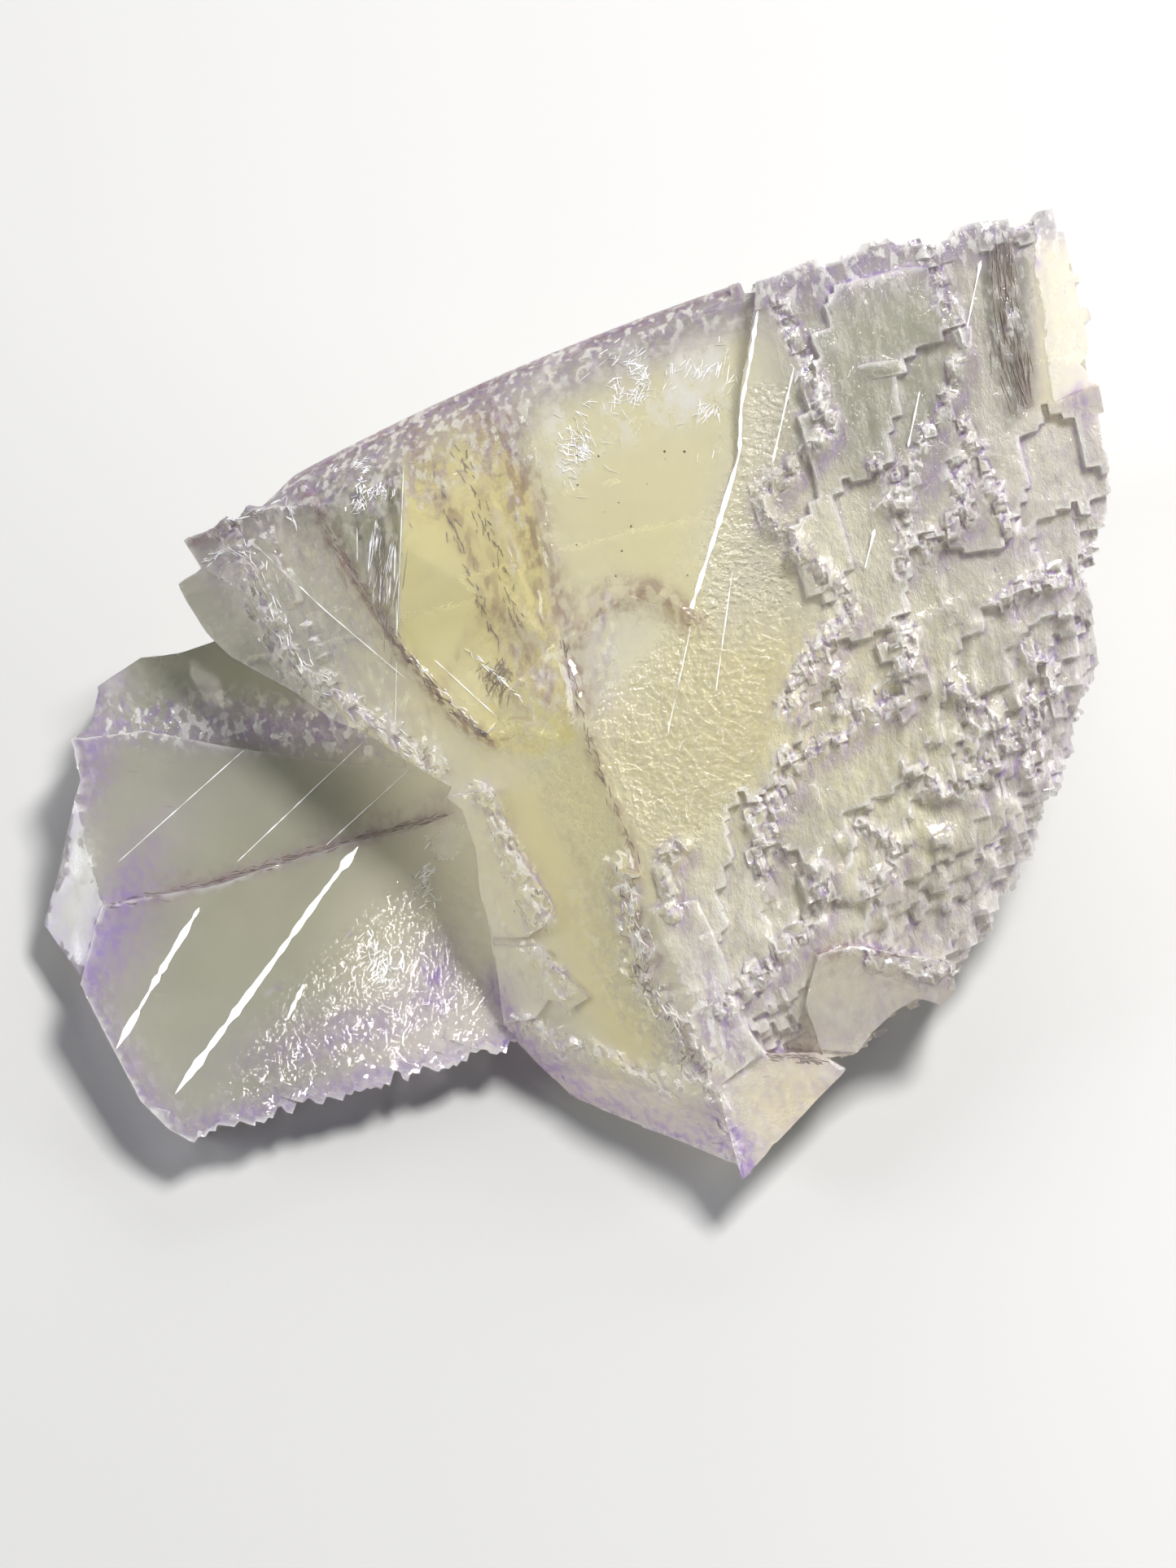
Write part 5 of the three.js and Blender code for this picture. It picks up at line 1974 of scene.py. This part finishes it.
@dataclass(frozen=True)
class Tuft:
    """Short thin blades strewn over an ellipse in wisps, all at nearly the same turn."""

    middle: Point
    reach: Point
    turn: float
    count: int
    long: float = 0.8
    spread: float = 22.0
    widths: Point = (0.03, 0.08)

    def slivers(self, rng: np.random.Generator) -> list[Sliver]:
        """The blades: places drawn from a bell curve and kept where a noise is above 0.

        Args:
            rng: where the random numbers come from.

        Returns:
            The blades, not yet laid on the stone.
        """
        places = rng.normal(0, 0.5, (2 * self.count, 2)) * self.reach + self.middle
        places = places[drift(*places.T, 0.9, 40) > 0]
        turns = np.radians(self.turn + rng.normal(0, self.spread, len(places)))
        halves = np.column_stack([np.cos(turns), np.sin(turns)]) * self.long
        halves *= rng.uniform(*HALF_BLADE, (len(places), 1))
        return short_blades(places, halves, rng.uniform(*self.widths, len(places)), 0.03)


@dataclass(frozen=True)
class Trail:
    """Short thin blades strewn along a path, all nearly along it."""

    path: tuple[Point, ...]
    count: int
    stray: float = 0.1
    widths: Point = (0.03, 0.09)
    long: float = 0.7
    spread: float = 14.0

    def slivers(self, rng: np.random.Generator) -> list[Sliver]:
        """The blades, at even chances along the path and strayed a little from it.

        Args:
            rng: where the random numbers come from.

        Returns:
            The blades, not yet laid on the stone.
        """
        path = np.array(self.path)
        at = rng.uniform(0, path_run(path)[-1], self.count)
        place, after = on_path(path, at - 0.1), on_path(path, at + 0.1)
        turns = np.arctan2(*(after - place).T[::-1]) + np.radians(rng.normal(0, self.spread, self.count))
        halves = np.column_stack([np.cos(turns), np.sin(turns)])
        halves *= rng.uniform(*HALF_BLADE, (self.count, 1))
        place = place + rng.normal(0, self.stray, place.shape)
        return short_blades(place, self.long * halves, rng.uniform(*self.widths, self.count), 0.04)


# short white blades: partly veils and cracks, partly painted glints along chains and edges
BRIGHT_TUFTS_AND_GLINTS = (
    Tuft((2.8, 24.4), (2.2, 1.9), 35, 130, 0.7, 40, (0.02, 0.06)),
    Tuft((7.0, 23.4), (1.6, 3.0), 62, 150, 0.9, 25, (0.02, 0.06)),
    Tuft((-0.4, 20.2), (1.5, 2.2), -38, 90, 0.8, 28, (0.02, 0.06)),
    Tuft((-13.4, 17.6), (1.5, 1.2), 60, 60, 0.5, 45),
    Tuft((-12.6, 13), (1.0, 4.2), 84, 50, 2.2, 5),
    Tuft((-13.2, -11.6), (1.8, 2.2), 50, 90, 0.6, 40),
    Tuft((-9.8, -5.4), (0.9, 2.2), 40, 60, 0.6, 30),
    Tuft((-13.4, 19.4), (2.6, 0.7), 20, 40, 0.6, 50),
    Trail(((-11.3, 8.4), (-7.9, 4.6), (-6.2, 3.2), (-5.6, 3.6)), 46, 0.1, (0.05, 0.13), 0.36),
    Trail(((-7.8, 8.6), (-5.4, 6.5), (-3.6, 4.6)), 26, 0.05, (0.03, 0.08)),
    Trail(((-22.6, 16.4), (-20.2, 16.9), (-18.6, 17.6), (-17.9, 15.8)), 46, 0.12),
    Trail(((-24.6, 13.4), (-22.4, 14.6), (-20.9, 14)), 30, 0.12),
    Trail(((-21.3, 14.6), (-19.4, 10.6), (-17.4, 6.8), (-13, 3.8), (-9.6, 1.4)), 90, 0.35),
    Trail(((2.2, -5.6), (2.6, -8.6), (3.4, -9.9), (3.2, -11.4), (4.2, -13), (5.8, -15)), 60, 0.3),
)
DARK_TUFTS = (
    Tuft((-12.4, 13.5), (0.9, 4.6), 84, 60, 2.6, 4),
    Tuft((-5.6, 6.4), (1.0, 1.8), 70, 60, 0.9, 26, (0.02, 0.05)),
    Trail(((24.9, 32.6), (25.3, 28), (26.2, 23.6)), 90, 0.5, (0.03, 0.1), 2.6, 9),
    Trail(((-17.4, 18.4), (-14.4, 12.9), (-11.3, 8.1), (-7.9, 4.2), (-6.0, 2.7)), 200, 0.14, (0.04, 0.13)),
    Trail(((2, -5.4), (2.4, -8.4), (3.3, -9.8), (3.1, -11.3), (4, -12.9), (5.6, -15), (6.8, -17.6)),
          80, 0.4, (0.04, 0.14), 0.7, 60),
    Trail(((-1.4, 8.4), (-0.7, 5), (0.2, 2.2), (2.8, -4.4), (3.1, -6.2)), 80, 0.12, (0.02, 0.06)),
    Trail(((10.9, -16.5), (12.6, -16.6), (14.4, -17)), 60, 0.12, (0.06, 0.2)),
    Trail(((-9.6, 19.6), (-7.4, 13.4), (-5.6, 8.4), (-4.4, 5)), 60, 0.2),
    Trail(((-8.0, 20.4), (-5.8, 14.4), (-4.2, 9.4)), 60, 0.25),
    Trail(((-29.8, -7.5), (-23.5, -6.1), (-15.5, -3.7), (-8.8, -1.9)), 130, 0.12),
)


class Surface:
    """The stone's front, felt from above in the leaning frame."""

    ABOVE = 50.0  # rays start at this height
    MISSED = -100.0  # the height beside the stone

    def __init__(self, stone: bpy.types.Object) -> None:
        """Keeps the stone's faces where a ray finds them quickly.

        Args:
            stone: the finished stone.
        """
        solid = solid_of(stone.data)
        points = to_lean(solid.points / MM - CENTRING)
        self.tree = BVHTree.FromPolygons(points.tolist(), solid.faces)

    def height(self, place: Point) -> float:
        """The height of the stone at a place."""
        hit = self.tree.ray_cast(Vector((*place, self.ABOVE)), Vector((0, 0, -1)))[0]
        return self.MISSED if hit is None else hit.z

    def laid(self, blades: Sequence[Sliver], steepest: float = 0.9) -> list[Sliver]:
        """Lays blades on the stone.

        Args:
            blades: straight blades, whose own planes are not used.
            steepest: the slope above which a blade is left out, as at a step or an edge.

        Returns:
            The blades whose two tips the stone carries, each with a plane through its tips.
        """
        kept = []
        for blade in blades:
            (x, y), (end_x, end_y) = blade.path[0], blade.path[-1]
            start, run = self.height((x, y)), np.array([end_x - x, end_y - y])
            slope = (self.height((end_x, end_y)) - start) / (run @ run) * run
            if start > self.MISSED and np.hypot(*slope) < steepest:
                kept.append(replace(blade, plane=Plane(start - slope @ (x, y), *slope)))
        return kept


def sliver_solid(sliver: Sliver, stations: int = 41) -> Solid:
    """A blade along a path: a lens in section, ragged along it and tapered at both tips.

    Half its width is half the sliver's, times a noise from 0.2 to 1.2, times twenty times the
    share of the path to the nearer tip, kept between 0.03 and 1.

    Args:
        sliver: where it lies and how wide it is.
        stations: how many sections it has.

    Returns:
        The blade, closed at both tips.
    """
    path = np.asarray(sliver.path, float)
    length = path_run(path)[-1]
    at = np.linspace(0, length, stations)
    places = on_path(path, at)
    along = np.gradient(places, axis=0)
    along /= np.linalg.norm(along, axis=1)[:, None]
    share = at / length
    ragged = 0.7 + 0.5 * drift(at * 2.5, at * 0 + sliver.width * 90, 1.0, 12)
    half = sliver.width / 2 * ragged * np.clip(20 * np.minimum(share, 1 - share), 0.03, 1)
    section = np.array([[1, 0], [0, 1], [-1, 0], [0, -1]], float)
    px = places[:, :1] - along[:, 1:] * section[:, 0] * half[:, None]
    py = places[:, 1:] + along[:, :1] * section[:, 0] * half[:, None]
    thick = sliver.thick * half[:, None] / half.max()
    pw = sliver.plane.height(px, py) + sliver.lift + section[:, 1] * thick
    return stacked(np.stack([px, py], -1), pw)


def to_lean(points: Array) -> Array:
    """Points in table axes, in the leaning frame of the big crystal."""
    return (points - LIFT) @ LEAN_TURN


def to_part(points: Array) -> Array:
    """Points of the leaning frame in millimetres, in the part's own frame in metres."""
    return (points @ LEAN_TURN.T + LIFT + CENTRING) * MM


def merged(solids: list[Solid]) -> Solid:
    """Several solids as one mesh.

    Args:
        solids: the solids, which may lie anywhere.

    Returns:
        All of them, with their points in one row.
    """
    starts = np.cumsum([0] + [len(solid.points) for solid in solids[:-1]])
    faces = [
        [corner + int(start) for corner in face]
        for solid, start in zip(solids, starts)
        for face in solid.faces
    ]
    return Solid(np.concatenate([solid.points for solid in solids]), faces)


@dataclass
class Inclusions:
    """The bright slivers, partly painted glints and reflections, the dark seams and the dark specks in the
    stone's surface.
    """

    surface: Surface
    specks: int = 14
    speck_field: tuple[Point, Point] = ((-1, 6), (12, 21))
    speck_sizes: Point = (0.05, 0.13)
    seed: int = 5

    def blades(
        self, name: str, slivers: Sequence[Sliver], tufts: Sequence[Tuft | Trail], finish: SliverFinish
    ) -> bpy.types.Object:
        """Slivers and the blades of tufts as one piece.

        Args:
            name: the piece's name.
            slivers: the long blades.
            tufts: where the short ones are strewn.
            finish: what both look like.

        Returns:
            The piece.
        """
        rng = np.random.default_rng(self.seed)
        solids = [sliver_solid(sliver) for sliver in slivers]
        short = [blade for tuft in tufts for blade in tuft.slivers(rng)]
        solids += [sliver_solid(blade, 7) for blade in self.surface.laid(short)]
        solid = merged(solids)
        thing = mesh_of(name, Solid(to_part(solid.points), solid.faces))
        thing.data.materials.append(finish.material(name))
        return thing

    def dark_specks(self) -> bpy.types.Object:
        """Small eight-sided grains scattered in the pale window, as one piece.

        Returns:
            The piece.
        """
        rng = np.random.default_rng(self.seed)
        x, y = (rng.uniform(*span, self.specks) for span in self.speck_field)
        size = rng.uniform(*self.speck_sizes, self.specks)
        shape = np.array([(1, 0, 0), (0, 1, 0), (-1, 0, 0), (0, -1, 0), (0, 0, 1), (0, 0, -1)], float)
        sides = [(0, 1, 4), (1, 2, 4), (2, 3, 4), (3, 0, 4), (1, 0, 5), (2, 1, 5), (3, 2, 5), (0, 3, 5)]
        middle = np.column_stack([x, y, WINDOWS["pale"].plane.height(x, y)])
        points = middle[:, None, :] + shape * size[:, None, None] * rng.uniform(0.6, 1, (self.specks, 6, 1))
        faces = (np.array(sides) + 6 * np.arange(self.specks)[:, None, None]).reshape(-1, 3)
        thing = mesh_of("dark_specks", Solid(to_part(points.reshape(-1, 3)), faces.tolist()))
        thing.data.materials.append(SpeckFinish().material())
        return thing


@dataclass
class Studio:
    """The pale floor, the soft lights and the camera."""

    distance: float = 0.3
    elevation: float = 60.0
    focal_pixels: float = 6000.0
    image_height: int = 1927
    sensor: float = 36.0
    floor_colour: Colour = (0.36, 0.36, 0.36, 1)

    def floor(self) -> bpy.types.Object:
        """A pale table top with a faint mottle.

        Returns:
            The floor.
        """
        half = 1.5
        level = -0.1 * MM
        corners = [(-half, -half, level), (half, -half, level), (half, half, level), (-half, half, level)]
        thing = mesh_of("table_top", Solid(np.array(corners), [[0, 1, 2, 3]]))
        material, wiring = new_material("table_top")
        place = wiring.node("TexCoord").outputs["Object"]
        noise = wiring.node("TexNoise", None, Vector=place, Scale=9.0)
        darker = tuple(0.94 * part for part in self.floor_colour[:3]) + (1,)
        colour = wiring.mix(noise.outputs[0], self.floor_colour, darker)
        wiring.surface(Base_Color=colour, Roughness=0.6)
        thing.data.materials.append(material)
        return thing

    def light(self, name: str, place: Point3, size: float, power: float, colour: Point3) -> None:
        """A soft square light that faces the stone.

        Args:
            name: the light's name.
            place: where it stands, in metres.
            size: its side in metres.
            power: its power in watts.
            colour: its colour.
        """
        lamp = bpy.data.lights.new(name, "AREA")
        lamp.size, lamp.energy, lamp.color = size, power, colour
        thing = bpy.data.objects.new(name, lamp)
        thing.location = place
        aim = Vector((0, 0, 0.015)) - Vector(place)
        thing.rotation_euler = aim.to_track_quat("-Z", "Y").to_euler()
        bpy.context.scene.collection.objects.link(thing)

    def camera(self) -> None:
        """The camera, square to the big crystal's broad front."""
        camera = bpy.data.cameras.new("camera")
        camera.sensor_width = self.sensor
        camera.lens = self.focal_pixels / self.image_height * self.sensor
        camera.clip_start, camera.clip_end = 0.01, 10
        thing = bpy.data.objects.new("camera", camera)
        tilt = math.radians(self.elevation)
        target = Vector(to_part(np.zeros((1, 3)))[0])
        back = Vector((0, -math.cos(tilt), math.sin(tilt)))
        thing.location = target + back * self.distance
        thing.rotation_euler = (-back).to_track_quat("-Z", "Y").to_euler()
        bpy.context.scene.collection.objects.link(thing)
        bpy.context.scene.camera = thing

    def build(self) -> None:
        """Sets up the floor, the world, the lights and the camera."""
        self.floor()
        world = bpy.data.worlds.new("room")
        bpy.context.scene.world = world
        world.use_nodes = True
        background = world.node_tree.nodes["Background"]
        background.inputs["Color"].default_value = (0.8, 0.84, 0.9, 1)
        background.inputs["Strength"].default_value = 0.26
        self.light("key", (0.16, 0.10, 0.415), 0.12, 3.6, (1, 0.98, 0.95))
        self.light("fill", (-0.42, -0.03, 0.20), 0.22, 1.3, (0.95, 0.97, 1))
        self.light("side", (0.40, 0.02, 0.16), 0.2, 0.9, (0.98, 0.98, 1))
        self.light("back", (0.05, 0.42, 0.22), 0.25, 1.2, (1, 0.99, 0.97))
        self.camera()


def main() -> None:
    """Builds the stone, its inclusions and the studio, and reports each piece."""
    logging.basicConfig(level=logging.INFO, format="%(name)s: %(message)s")
    bpy.context.scene.view_settings.view_transform = "Standard"
    stone = Cluster().build()
    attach(stone, "root")
    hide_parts("fluorite_crystals")
    inclusions = Inclusions(Surface(stone))
    pieces = [
        stone,
        # the bright blades are partly cleavage cracks and partly painted glints and reflections
        inclusions.blades("cleavage_slivers_and_glints", SLIVERS, BRIGHT_TUFTS_AND_GLINTS, SliverFinish()),
        inclusions.blades("growth_seams", (), DARK_TUFTS, SEAM_FINISH),
        inclusions.dark_specks(),
    ]
    for piece in pieces[1:]:
        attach(piece, "root")
    for piece in pieces:
        LOG.info("%s: %d faces", piece.name, len(piece.data.polygons))
    Studio().build()


if __name__ == "__main__":
    main()
